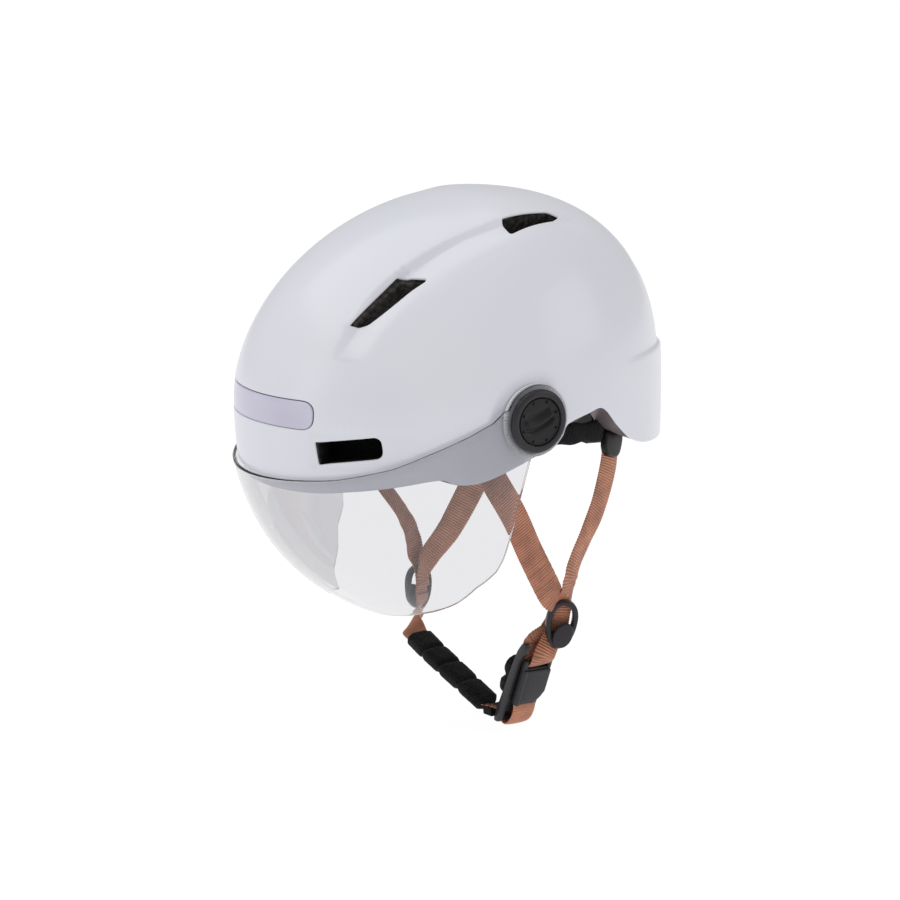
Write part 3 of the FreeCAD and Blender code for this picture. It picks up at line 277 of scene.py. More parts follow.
def metal_material(name, colour, roughness):
    """Turned metal: fine lines along one direction."""
    made = Nodes(name)
    place = made.place((1, 1, 14))
    lines = made.noise(place, 260.0, 3.0)
    dim = tuple(0.8 * part for part in colour)
    made.set(Base_Color=made.ramp(lines, [(0.3, dim), (0.7, colour)]), Metallic=1.0,
             Roughness=made.spread(lines, roughness - 0.08, roughness + 0.12),
             Normal=made.bump(lines, 0.01))
    return made.material


RIB_PITCH = 1.7
PAINT = paint_material()
FOAM = foam_material()
RIM = plastic_material("rim_grey_brown", (0.150, 0.118, 0.125), 0.42, 0.05)
CHARCOAL = plastic_material("charcoal_plastic", (0.023, 0.021, 0.025), 0.27, 0.02, 0.06)
BLACK = plastic_material("black_plastic", (0.008, 0.008, 0.009), 0.32, 0.02, 0.05)
NYLON = plastic_material("natural_nylon", (0.74, 0.75, 0.78), 0.25, 0.02)
GLASS = glass_material()
LAVENDER = reflector_material()
WEBBING = webbing_material()
PAD = fabric_material("pad_fabric", (0.004, 0.004, 0.005), (0.020, 0.019, 0.021))
FLEECE = fabric_material("fleece", (0.006, 0.006, 0.007), (0.024, 0.023, 0.025), 500.0, 0.6)
BRASS = metal_material("turned_brass", (0.62, 0.50, 0.27), 0.3)
STEEL = metal_material("steel", (0.58, 0.58, 0.60), 0.3)


# ---------------------------------------------------------------- meshes
def make(name, points, faces, material, normals=None, angle=35.0, uvs=None):
    """A mesh object from points in millimetres, smooth except at edges sharper than the angle."""
    mesh = bpy.data.meshes.new(name)
    mesh.from_pydata((np.asarray(points, float) * MM).tolist(), [],
                     [list(map(int, face)) for face in faces])
    mesh.validate()
    for polygon in mesh.polygons:
        polygon.use_smooth = True
    if normals is None:
        mesh.set_sharp_from_angle(angle=math.radians(angle))
    else:
        mesh.normals_split_custom_set_from_vertices(np.asarray(normals).tolist())
    if uvs is not None:
        layer = mesh.uv_layers.new(name="run")
        corners = np.zeros(len(mesh.loops), np.int32)
        mesh.loops.foreach_get("vertex_index", corners)
        layer.data.foreach_set("uv", np.asarray(uvs, np.float32)[corners].ravel())
    mesh.materials.append(material)
    thing = bpy.data.objects.new(name, mesh)
    scene.collection.objects.link(thing)
    return thing


def enrol(piece, body, slot, *replaced):
    """Attach a piece to the body it rides on and hide the CAD nodes that it stands for; the slot is not
    used.
    """
    if body:
        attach(piece, body)
    if replaced:
        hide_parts(*replaced)
    return piece


def outward(thing):
    """Turn all faces of a closed mesh to the outside."""
    mesh = bmesh.new()
    mesh.from_mesh(thing.data)
    bmesh.ops.recalc_face_normals(mesh, faces=mesh.faces)
    mesh.to_mesh(thing.data)
    mesh.free()
    return thing


def grid_faces(rows, columns, hoop=False):
    """Quads over rings of points; a hoop joins the last ring back to the first."""
    faces = []
    for i in range(rows if hoop else rows - 1):
        step = ((i + 1) % rows - i) * columns
        for j in range(columns):
            a = i * columns + j
            b = i * columns + (j + 1) % columns
            faces.append((a, b, b + step, a + step))
    return faces


def lofted(rings):
    """Points and faces of a closed solid through rings of equal count, with flat ends."""
    rings = [np.asarray(ring, float) for ring in rings]
    count = len(rings[0])
    faces = grid_faces(len(rings), count)
    faces.append(tuple(range(count))[::-1])
    last = (len(rings) - 1) * count
    faces.append(tuple(range(last, last + count)))
    return np.vstack(rings), faces


def joined(pieces):
    """Several (points, faces) as one."""
    points = []
    faces = []
    for some_points, some_faces in pieces:
        shift = sum(len(block) for block in points)
        points.append(np.asarray(some_points, float))
        faces += [tuple(corner + shift for corner in face) for face in some_faces]
    return np.vstack(points), faces


def smooth(value):
    """Soft step from 0 to 1."""
    value = np.clip(value, 0, 1)
    return value * value * (3 - 2 * value)


def swell(value, power):
    """A signed power, which squares off or pinches round sections."""
    return np.sign(value) * np.abs(value) ** power


def spline(points, count):
    """Points evenly spread along a Catmull-Rom curve through the given ones."""
    points = np.asarray(points, float)
    ends = np.vstack([2 * points[0] - points[1], points, 2 * points[-1] - points[-2]])
    fine = []
    for i in range(1, len(ends) - 2):
        t = np.linspace(0, 1, 40, endpoint=False)[:, None]
        a, b, c, d = ends[i - 1:i + 3]
        fine.append(0.5 * (2 * b + (c - a) * t + (2 * a - 5 * b + 4 * c - d) * t ** 2
                           + (3 * b - a - 3 * c + d) * t ** 3))
    fine = np.vstack(fine + [points[-1:]])
    length = np.concatenate([[0], np.cumsum(np.linalg.norm(np.diff(fine, axis=0), axis=1))])
    at = np.linspace(0, length[-1], count)
    return np.stack([np.interp(at, length, fine[:, k]) for k in range(points.shape[1])], -1)


# ---------------------------------------------------------------- shell surface
CENTRE = np.array((0, 5.0, 3.0))
APEX = np.array((0, 5.0, -70.0))
DOMAIN = 130.0
HALF_WIDTH = 104.0
FRONT = 145.0
REAR = 135.0
CROWN = 122.0
DROP = 260.0
PLAN_POWER = 2.04
# Height of the visor seat's upper edge along Y.
STEP_LINE = np.array([(-138, -36.5), (-117, -31.4), (-90, -23.6), (-73, -16), (-49, -6), (-32, 1),
                      (-20, 14)])
# Share of the roof channels' depth along Y.
CHANNEL_RUN = np.array([(-114, 0.0), (-96, 0.9), (-80, 1.0), (-60, 0.9), (-20, 0.45), (8, 0.6), (45, 0.55),
                        (66, 0.0)])
CHANNEL_DEPTH = 5.0
CHANNEL_WALL = (48.9, 50.0, 51.2, 52.3)
POCKET_DEPTH = 1.5
TAIL_PROUD = 2.4


def egg_gap(points, inset=0.0):
    """How far points lie outside the plain egg."""
    arm = points - CENTRE
    length = np.linalg.norm(arm, axis=-1)
    x, y, z = (arm / length[..., None]).T
    turn = y / np.maximum(np.hypot(x, y), 1e-9)
    power = 1.83 + 0.60 * (0.5 + 0.5 * np.tanh(turn / 0.5) / math.tanh(2))
    reach = np.where(y > 0, REAR, FRONT) - inset
    height = np.where(z > 0, CROWN - inset, DROP)
    plan = (np.abs(x) / (HALF_WIDTH - inset)) ** PLAN_POWER + (np.abs(y) / reach) ** PLAN_POWER
    return length - (plan ** (power / PLAN_POWER) + (np.abs(z) / height) ** power) ** (-1 / power)


def sink(points):
    """Depth below the plain egg: visor seat, roof channels and slot pockets; the tail stands proud."""
    x, y, z = points.T
    x = np.abs(x)
    # The visor's seat, below the step line and round the pivot.
    step = np.interp(y, *STEP_LINE.T)
    depth = np.where(y < -18, 3.0 * smooth((step - z) / 7 + 0.5), 0)
    near = np.hypot(y - PIVOT_Y, np.maximum(z, 0))
    depth = np.maximum(depth, np.where(y < 15, 3.0 * smooth((33 - near) / 8) * smooth((10 - y) / 10), 0))
    # The roof channels, with a steep inner wall and a long outer ramp.
    wall = smooth((x - CHANNEL_WALL[0]) / (CHANNEL_WALL[-1] - CHANNEL_WALL[0]))
    ramp = smooth((66 - x) / 15)
    depth = depth + np.where(z > 40, CHANNEL_DEPTH * np.interp(y, *CHANNEL_RUN.T) * wall * ramp, 0)
    # The shallow pockets round the front slots.
    pocket = smooth((y + 128) / 6) * smooth((-66 - y) / 26) * smooth((z + 27) / 5) * smooth((1.5 - z) / 5)
    depth = depth + np.where((x > 38) & (y < -60), POCKET_DEPTH * pocket * smooth((x - 42) / 6), 0)
    tail = smooth((27.5 - z) / 5) * smooth((y - 62) / 38)
    return depth - TAIL_PROUD * tail


def rays(places):
    """Directions from the apex for places in the flat domain."""
    turn = np.hypot(places[:, 0], places[:, 1]) / DOMAIN
    azimuth = np.arctan2(places[:, 1], places[:, 0])
    return np.stack([np.sin(turn) * np.cos(azimuth), np.sin(turn) * np.sin(azimuth), np.cos(turn)], -1)


def shell_surface(inset=0.0):
    """The skin as a function of places in the flat domain."""
    def surface(places):
        ray = rays(places)
        low = np.zeros(len(places))
        high = np.full(len(places), 500.0)
        for _ in range(36):
            middle = (low + high) / 2
            within = egg_gap(APEX + ray * middle[:, None], inset) < 0
            low = np.where(within, middle, low)
            high = np.where(within, high, middle)
        point = APEX + ray * low[:, None]
        arm = point - CENTRE
        outward_part = np.sum(ray * arm, -1) / np.linalg.norm(arm, axis=-1)
        return point - ray * (sink(point) / np.maximum(outward_part, 0.3))[:, None]
    return surface


def places_of(points):
    """Places in the flat domain below given points."""
    arm = np.asarray(points, float) - APEX
    turn = np.arccos(arm[:, 2] / np.linalg.norm(arm, axis=1)) * DOMAIN
    azimuth = np.arctan2(arm[:, 1], arm[:, 0])
    return np.stack([turn * np.cos(azimuth), turn * np.sin(azimuth)], -1)


def normals_of(surface, places, step=0.25):
    """Outward normals of a surface by small steps."""
    across = surface(places + (step, 0)) - surface(places - (step, 0))
    along = surface(places + (0, step)) - surface(places - (0, step))
    normal = np.cross(across, along)
    return units(normal)


# ---------------------------------------------------------------- patches: curved walls with holes
def rounded(corners, radius, step=0.8):
    """A closed flat outline with rounded corners."""
    corners = np.asarray(corners, float)
    points = []
    radii = np.broadcast_to(radius, len(corners))
    for before, corner, after, radius in zip(np.roll(corners, 1, 0), corners, np.roll(corners, -1, 0),
                                             radii):
        reach = min(radius, np.linalg.norm(before - corner) * 0.45, np.linalg.norm(after - corner) * 0.45)
        start = corner + unit(before - corner) * reach
        end = corner + unit(after - corner) * reach
        for t in np.linspace(0, 1, 7):
            points.append((1 - t) ** 2 * start + 2 * t * (1 - t) * corner + t * t * end)
    points = np.array(points)
    loop = np.vstack([points, points[:1]])
    length = np.concatenate([[0], np.cumsum(np.linalg.norm(np.diff(loop, axis=0), axis=1))])
    at = np.linspace(0, length[-1], max(24, int(length[-1] / step)), endpoint=False)
    return np.stack([np.interp(at, length, loop[:, k]) for k in range(loop.shape[1])], -1)


def rectangle(left, low, right, high, radius, step):
    """A rectangle with rounded corners."""
    return rounded([(left, low), (right, low), (right, high), (left, high)], radius, step)


def shot(points, direction):
    """Where points, moved along a direction, meet the shell from outside; as places in the domain."""
    direction = unit(direction)
    points = np.asarray(points, float)
    low = np.full(len(points), -60.0)
    high = np.full(len(points), 60.0)
    for _ in range(30):
        middle = (low + high) / 2
        spot = points + direction * middle[:, None]
        inside_shell = egg_gap(spot) + sink(spot) < 0
        low = np.where(inside_shell, middle, low)
        high = np.where(inside_shell, high, middle)
    return places_of(points + direction * low[:, None])


def inside(loop, places):
    """Which places lie within a closed loop, by crossings of its edges."""
    x, y = places.T
    held = np.zeros(len(places), bool)
    for (x1, y1), (x2, y2) in zip(loop, np.roll(loop, -1, axis=0)):
        if y1 == y2:
            continue
        held ^= ((y1 > y) != (y2 > y)) & (x < (x2 - x1) * (y - y1) / (y2 - y1) + x1)
    return held


def signed_area(loop):
    """Area of a loop, positive where it runs anticlockwise."""
    x, y = loop.T
    return 0.5 * np.sum(x * np.roll(y, -1) - y * np.roll(x, -1))


def between(outer, holes, places):
    """Which places lie within the outer loop and outside the holes."""
    held = inside(outer, places)
    for hole in holes:
        held &= ~inside(hole, places)
    return held


def hexagons(low, high, spacing):
    """A hexagonal grid of places over a rectangle."""
    rows = []
    for index, y in enumerate(np.arange(low[1], high[1], spacing * math.sqrt(0.75))):
        xs = np.arange(low[0] + (index % 2) * spacing / 2, high[0], spacing)
        rows.append(np.stack([xs, np.full(len(xs), y)], -1))
    return np.vstack(rows)


def tree_of(places):
    """A search tree over flat places."""
    tree = kdtree.KDTree(len(places))
    for index, place in enumerate(places):
        tree.insert((*place, 0), index)
    tree.balance()
    return tree


def clear_of(tree, places, gap):
    """The places further than the gap from all that is in the tree."""
    return np.array([place for place in places if tree.find((*place, 0))[2] > gap]).reshape(-1, 2)


def patch(outer, holes, spacing, rings=(1.1, 2.4), creases=()):
    """Triangles over a flat region: a hexagonal grid, rings along every outline and rows along creases."""
    loops = [outer if signed_area(outer) > 0 else outer[::-1]]
    loops += [hole if signed_area(hole) < 0 else hole[::-1] for hole in holes]
    tree = tree_of(np.vstack(loops))
    extra = [hexagons(outer.min(0), outer.max(0), spacing)]
    clear = rings[-1] + spacing * 0.6
    for loop in loops:
        run = units(np.roll(loop, -1, 0) - np.roll(loop, 1, 0))
        left = np.stack([-run[:, 1], run[:, 0]], -1)
        for number, ring in enumerate(rings):
            picked = slice(None) if number == 0 else slice(None, None, 2)
            extra.append(loop[picked] + left[picked] * ring)
    if len(creases):
        extra.append(np.vstack(creases))
        extra[0] = clear_of(tree_of(extra[-1]), extra[0], spacing * 0.6)
    kept = []
    for number, places in enumerate(extra):
        on_ring = 0 < number <= len(loops) * len(rings)
        need = rings[(number - 1) % len(rings)] * 0.8 if on_ring else clear
        kept.append(clear_of(tree, places[between(outer, holes, places)], need))
    edges = []
    start = 0
    for loop in loops:
        edges += [(start + i, start + (i + 1) % len(loop)) for i in range(len(loop))]
        start += len(loop)
    given = [Vector(place) for place in np.vstack(loops + kept)]
    made = geometry.delaunay_2d_cdt(given, edges, [], 0, 1e-5)
    places = np.array([tuple(place) for place in made[0]])
    faces = np.array([face for face in made[2] if len(face) == 3])
    faces = faces[between(outer, holes, places[faces].mean(1))]
    a, b, c = places[faces[:, 0]], places[faces[:, 1]], places[faces[:, 2]]
    turned = (b - a)[:, 0] * (c - a)[:, 1] - (b - a)[:, 1] * (c - a)[:, 0] < 0
    faces[turned] = faces[turned][:, ::-1]
    used = np.unique(faces)
    number = np.full(len(places), -1)
    number[used] = np.arange(len(used))
    return places[used], number[faces]


def walled(surface, places, faces, wall, steps=6, on_plane=None):
    """A wall of even thickness below a surface, with rounded edges; returns points, faces and normals."""
    points = surface(places)
    normals = normals_of(surface, places)
    count = len(points)
    pairs = {}
    for a, b, c in faces.tolist():
        pairs[a, b] = pairs[b, c] = pairs[c, a] = True
    border = [(a, b) for a, b in pairs if (b, a) not in pairs]
    if on_plane is not None:
        border = [(a, b) for a, b in border if not (on_plane[a] and on_plane[b])]
        normals[on_plane, 0] = 0
        normals = units(normals)
    following = dict(border)
    leading = {b: a for a, b in border}
    lips = {}
    extra_points = []
    extra_normals = []
    for place in sorted(set(following) | set(leading)):
        run = points[following.get(place, place)] - points[leading.get(place, place)]
        if on_plane is not None and on_plane[place]:
            run = np.array((run[0], 0, 0))
        normal = normals[place]
        out = np.cross(run, normal)
        out /= np.linalg.norm(out)
        lips[place] = [place]
        for step in range(1, steps):
            angle = math.pi * step / steps
            lean = normal * math.cos(angle) + out * math.sin(angle)
            lips[place].append(2 * count + len(extra_points))
            extra_points.append(points[place] - normal * wall / 2 + lean * wall / 2)
            extra_normals.append(lean)
        lips[place].append(place + count)
    all_faces = [tuple(face) for face in faces.tolist()]
    all_faces += [tuple(corner + count for corner in face[::-1]) for face in faces.tolist()]
    for a, b in border:
        for step in range(steps):
            all_faces.append((lips[b][step], lips[a][step], lips[a][step + 1], lips[b][step + 1]))
    all_points = np.vstack([points, points - normals * wall, extra_points])
    return all_points, all_faces, np.vstack([normals, -normals, extra_normals])


# ---------------------------------------------------------------- shell and brow insert
# Each opening: its corners, the way it looks and the rounding of each corner.
VENTS = [
    ([(48.8, -124.2, -8.6), (76.6, -95.0, -3.6), (77.2, -93.4, -17.6), (49.8, -122.5, -22.9)],
     (0.72, -0.68, 0.12), (1.2, 5.6, 5.6, 1.8)),
    ([(49.5, -100.3, 58.0), (54.4, -89.5, 57.9), (57.5, -81.7, 64.0), (59.7, -73.2, 70.5),
      (60.7, -64.1, 76.7), (61.9, -55.0, 81.7), (60.6, -53.2, 83.3), (52.3, -59.3, 83.2),
      (50.8, -64.2, 83.8), (50.2, -67.4, 84.2)],
     (0.45, -0.52, 0.72), (1.2, 2.0, 3.0, 3.0, 3.0, 1.2, 1.2, 1.5, 1.0, 1.0)),
    ([(49, 6.3, 113.2), (61.1, 5.3, 104.8), (50.6, 48.7, 110.1), (46.3, 42.2, 113.7)], (0.45, 0.1, 0.88),
     (2.2, 3.0, 2.0, 2.6)),
    ([(31.8, 104.4, 89.2), (46.2, 107.6, 74.8), (40, 120, 62), (22, 121, 72)], (0.28, 0.72, 0.64),
     (4.0,) * 4),
]
# Height of the shell's lower edge along Y.
RIM_LINE = [(-152, -41), (-126, -41.4), (-105, -38.5), (-86, -35.6), (-62, -32), (-52, -35.5),
            (-38, -35.4), (-24, -31), (-9, -25.2), (0, -21), (8, -18.3), (14, -12.5), (19, -5),
            (36, -0.8), (45, 0.8), (52, -2.5), (62, -12.8), (75, -23.6), (88, -28.8), (102, -31.1),
            (125, -33.4), (152, -34)]
RIM_CURVE = spline(RIM_LINE, 600)
EDGE_ROUND = 1.0


def flat_outline(corners, direction, radius, grow=0.0):
    """An outline with rounded corners in the plane that looks along a direction."""
    direction = unit(direction)
    across = unit(np.cross((0, 0, 1), direction))
    rise = np.cross(direction, across)
    corners = np.asarray(corners, float)
    middle = corners.mean(0)
    flat = np.stack([(corners - middle) @ across, (corners - middle) @ rise], -1)
    flat = rounded(flat, radius)
    if grow:
        flat = flat + outline_normals(flat) * grow
    return middle + flat[:, :1] * across + flat[:, 1:] * rise


def outline_normals(loop):
    """Outward normals of a flat closed outline."""
    run = units(np.roll(loop, -1, 0) - np.roll(loop, 1, 0))
    sign = 1 if signed_area(loop) > 0 else -1
    return np.stack([run[:, 1], -run[:, 0]], -1) * sign


def level_loop(surface, curve, count):
    """Where the shell meets a height given along Y, all the way round, in the flat domain."""
    azimuth = full_turn(count)
    low = np.full(len(azimuth), math.radians(35.0)) * DOMAIN
    high = np.full(len(azimuth), math.radians(100.0)) * DOMAIN
    heading = np.stack([np.cos(azimuth), np.sin(azimuth)], -1)
    for _ in range(26):
        middle = (low + high) / 2
        point = surface(heading * middle[:, None])
        above = point[:, 2] > np.interp(point[:, 1], *curve.T)
        low = np.where(above, middle, low)
        high = np.where(above, high, middle)
    return heading * low[:, None]


def crease_lines(surface):
    """Lines along the roof channels' walls and the step of the tail."""
    lines = []
    run = np.arange(-108, 60, 1.3)
    for x in CHANNEL_WALL:
        for _, sign in SIDES:
            start = np.stack([np.full(len(run), sign * x), run, np.full(len(run), 80.0)], -1)
            lines.append(shot(start, (0, 0, 1)))
    for height in (27.6, 26.0, 24.2, 22.4):
        level = level_loop(surface, np.array([(-200.0, height), (200.0, height)]), 520)
        lines.append(level[surface(level)[:, 1] > 64])
    return lines


def lens_corners(grow=0.0):
    """Corners of the brow insert, seen from the front."""
    half, low, high = 48.0 + grow, -2.0 - grow, 15.0 + grow
    return [(-half, -130, low), (half, -130, low), (half, -130, high), (-half, -130, high)]


skin = shell_surface()
rim = level_loop(skin, RIM_CURVE + (0, EDGE_ROUND), 760)
openings = []
for corners, direction, radius in VENTS:
    for _, sign in SIDES:
        mirror = np.array((sign, 1, 1))
        outline = flat_outline(np.array(corners) * mirror, np.array(direction) * mirror, radius,
                               EDGE_ROUND * 0.4)
        openings.append(shot(outline, np.array(direction) * mirror))
lens_hole = flat_outline(lens_corners(), (0, -1, 0), 8.0, 0.25 + EDGE_ROUND)
openings.append(shot(lens_hole, (0, -1, 0)))
for _, sign in SIDES:
    circle = full_turn(40)
    bore = np.stack([np.full(40, sign * 101.0), PIVOT_Y + 6.3 * np.cos(circle), 6.3 * np.sin(circle)], -1)
    openings.append(places_of(bore))
shell_places, shell_faces = patch(rim, openings, 1.9,
                                  creases=crease_lines(skin))
points, faces, normals = walled(skin, shell_places, shell_faces, 2 * EDGE_ROUND)
shell = make("shell_skin", points, faces, PAINT, normals)
enrol(shell, "helmet", "shell_white", "outer_shell")

lens_loop = shot(flat_outline(lens_corners(), (0, -1, 0), 8.0, -0.9), (0, -1, 0))
lens_places, lens_faces = patch(lens_loop, [], 1.5, (0.7, 1.5))
points, faces, normals = walled(shell_surface(0.25), lens_places, lens_faces, 1.8)
lens = make("brow_reflector", points, faces, LAVENDER, normals)
enrol(lens, "helmet", "reflector_lavender", "front_reflector")

# ---------------------------------------------------------------- visor
# Height of the visor's upper edge along Y, and angle below the front of its lower edge along X.
VISOR_TOP = np.array([(-160, -38), (-116.9, -31), (-89.6, -23), (-72.8, -15.5), (-49.2, -5.6), (-34, 1.5),
                      (-26, 8)])
VISOR_LOW = np.array([(0, 54), (8, 57), (27, 64), (53, 67.5), (63, 70), (73, 72.5), (84, 74), (92, 77.5),
                      (104, 78)])
VISOR_WALL = 2.0
EAR_RADIUS = 21.8
EAR_OUT = 104.3


def visor_profile(share, angle):
    """Half width, radius and power of the visor's cross-section at an angle below the front."""
    below = smooth((angle - math.radians(15)) / math.radians(55))
    fuller = below * (1 - smooth((np.abs(share) - 0.86) / 0.125))
    return 105.4 + 5.2 * fuller, 141.8 + 3.2 * fuller, 2.0 + 0.4 * fuller


def visor_surface(places):
    """The left half; its flat domain is polar about the ear, with the turn from the ear as radius."""
    turn = np.hypot(places[:, 0], places[:, 1]) / DOMAIN
    angle = np.arctan2(-places[:, 1], -places[:, 0])
    share = np.cos(turn)
    half, radius, power = visor_profile(share, angle)
    reach = radius * np.clip(1 - np.abs(share) ** power, 0, 1) ** (1 / power)
    x = share * half
    ear = np.abs(reach) < 40
    x = np.where(ear, np.minimum(x, EAR_OUT), x)
    return np.stack([x, PIVOT_Y - reach * np.cos(angle), -reach * np.sin(angle)], -1)


def visor_place(turn, angle):
    """Places in the visor's domain for a turn from the ear and an angle below the front."""
    return np.stack([-turn * np.cos(angle), -turn * np.sin(angle)], -1) * DOMAIN


def visor_outline():
    """Closed outline of the left half in the domain; the part on the middle plane comes last."""
    turns = np.linspace(math.pi / 2, 0.05, 240)
    low = np.full(len(turns), math.radians(-60.0))
    high = np.full(len(turns), math.radians(50.0))
    for _ in range(30):
        middle = (low + high) / 2
        point = visor_surface(visor_place(turns, middle))
        above = point[:, 2] > np.interp(point[:, 1], *VISOR_TOP.T) - 0.6
        low = np.where(above, middle, low)
        high = np.where(above, high, middle)
    top_angles = low
    low_angles = np.full(len(turns), math.radians(70.0))
    for _ in range(6):
        point = visor_surface(visor_place(turns, low_angles))
        low_angles = np.radians(np.interp(point[:, 0], *VISOR_LOW.T))
    reach = np.hypot(*(visor_surface(visor_place(turns, top_angles))[:, 1:] - (PIVOT_Y, 0)).T)
    sheet = reach > EAR_RADIUS - 0.5
    top_angles = np.where(sheet, top_angles, 0)
    ear_turn = float(np.interp(EAR_RADIUS - 1, reach[::-1], turns[::-1]))
    start = float(top_angles[sheet][-1])
    stop = float(low_angles[sheet][-1])
    round_trip = np.linspace(start, stop - 2 * math.pi, 90)[1:-1]
    top_edge = visor_place(turns[sheet], top_angles[sheet])
    ear_edge = visor_place(np.full(len(round_trip), ear_turn), round_trip)
    low_edge = visor_place(turns[sheet][::-1], low_angles[sheet][::-1])
    middle_angles = np.linspace(low_angles[0], top_angles[0], 90)[1:-1]
    middle_edge = visor_place(np.full(len(middle_angles), math.pi / 2), middle_angles)
    return np.vstack([top_edge, ear_edge, low_edge, middle_edge])


visor_loop = visor_outline()
hole = full_turn(36)
stem_hole = visor_place(np.full(36, 0.045), hole)
visor_places, visor_faces = patch(visor_loop, [stem_hole], 2.4, (1.0, 2.2))
on_plane = np.abs(np.hypot(*visor_places.T) - math.pi / 2 * DOMAIN) < 1e-3
points, faces, normals = walled(visor_surface, visor_places, visor_faces, VISOR_WALL, 6, on_plane)
points[np.abs(points[:, 0]) < 1e-4, 0] = 0
count = len(points)
mirror = np.array((-1.0, 1, 1))
faces = faces + [tuple(corner + count for corner in face[::-1]) for face in faces]
visor = make("visor_glass", np.vstack([points, points * mirror]), faces, GLASS)
mesh = bmesh.new()
mesh.from_mesh(visor.data)
bmesh.ops.remove_doubles(mesh, verts=[v for v in mesh.verts if abs(v.co.x) < 1e-6], dist=1e-6)
bmesh.ops.recalc_face_normals(mesh, faces=mesh.faces)
mesh.to_mesh(visor.data)
mesh.free()
enrol(visor, "visor", "clear_visor", "visor")


# ---------------------------------------------------------------- pivot knobs
def lathe(profile, sides=96):
    """Ring of quads from (radius, height) pairs round local Z; closes on itself."""
    angle = full_turn(sides)
    rings = [np.stack([radius * np.cos(angle), radius * np.sin(angle), np.full(sides, height)], -1)
             for radius, height in profile]
    return np.vstack(rings), grid_faces(len(rings), sides, True)


def on_ear(points, sign):
    """From the knob's own frame to the helmet's: local X rearwards, Y upwards, Z outwards."""
    points = np.asarray(points, float)
    return np.stack([sign * points[:, 2], points[:, 0] + PIVOT_Y, points[:, 1]], -1)


RIM_PROFILE = [(14.75, 104.35), (14.75, 106.5), (15.0, 107.1), (15.5, 107.3), (17.0, 107.35),
               (18.0, 107.15), (18.7, 106.7), (19.1, 106.0), (19.3, 105.2), (19.25, 104.6), (19.0, 104.35)]


def knob_height(x, y):
    """Relief of the knob's face: rolled edge, dished floor, a wave-shaped grip and eight blind holes."""
    radius = np.hypot(x, y)
    height = np.full(len(x), 106.55)
    height += 0.3 * smooth((radius - 12.9) / 0.4) - 0.9 * smooth((radius - 13.8) / 0.6)
    crest = -0.9 + 0.36 * x + 0.016 * x * x
    gap = y - crest
    reach = smooth((12.0 - radius) / 3.4)
    hill = np.exp(-(np.maximum(gap, 0) / 4.6) ** 2) * np.exp(-(np.minimum(gap, 0) / 0.85) ** 2)
    hollow = np.exp(-((gap + 2.5) / 1.9) ** 2) + 0.5 * np.exp(-((gap - 6.0) / 2.2) ** 2)
    height += reach * (2.0 * hill - 1.5 * hollow)
    for index in range(8):
        turn = math.radians(22.5 + 45 * index)
        pin = np.hypot(x - 12.35 * math.cos(turn), y - 12.35 * math.sin(turn))
        height -= 0.9 * smooth((0.95 - pin) / 0.45)
    return height


def knob_face():
    """Closed knob: a fine polar grid for the face over a drum."""
    sides = 220
    radii = np.linspace(0.25, 14.5, 84)
    angle = full_turn(sides)
    rings = []
    for radius in radii:
        x, y = radius * np.cos(angle), radius * np.sin(angle)
        rings.append(np.stack([x, y, knob_height(x, y)], -1))
    for radius, height in ((14.55, 105.2), (14.5, 104.62), (5.0, 104.6), (5.0, 89.7), (0.3, 89.7)):
        rings.append(np.stack([radius * np.cos(angle), radius * np.sin(angle), np.full(sides, height)], -1))
    return lofted(rings)


def track_ring():
    """Ratchet track on the shell, seen through the clear ear: a ring of small teeth."""
    sides = 288
    angle = full_turn(sides)
    tooth = np.where((np.arange(sides) // 2) % 2 == 0, 0.55, 0.0)
    profile = ((20.2, 101.3, 0), (20.3, 101.5, 1), (22.0, 101.45, 1), (22.3, 101.2, 0), (22.0, 100.2, 0),
               (20.3, 100.2, 0))
    rings = []
    for radius, height, share in profile:
        rings.append(np.stack([radius * np.cos(angle), radius * np.sin(angle), height + share * tooth], -1))
    return np.vstack(rings), grid_faces(len(rings), sides, True)


for side, sign in SIDES:
    points, faces = lathe(RIM_PROFILE, 128)
    ring = outward(make(f"knob_ring_{side}", on_ear(points, sign), faces, CHARCOAL))
    enrol(ring, "visor", "black_plastic", f"knob_rim_{side}")
    points, faces = knob_face()
    knob = outward(make(f"knob_{side}", on_ear(points, sign), faces, BLACK))
    enrol(knob, f"knob_{side}", "black_plastic", f"visor_knob_{side}")
    points, faces = track_ring()
    track = outward(make(f"ratchet_track_{side}", on_ear(points, sign), faces, NYLON))
    enrol(track, "helmet", "nylon_natural")


# ---------------------------------------------------------------- webbing
WEB_WIDTH = 18.0
WEB_THICK = 1.5
ROW_STEP = RIB_PITCH / 6
EDGE_POWER = 6


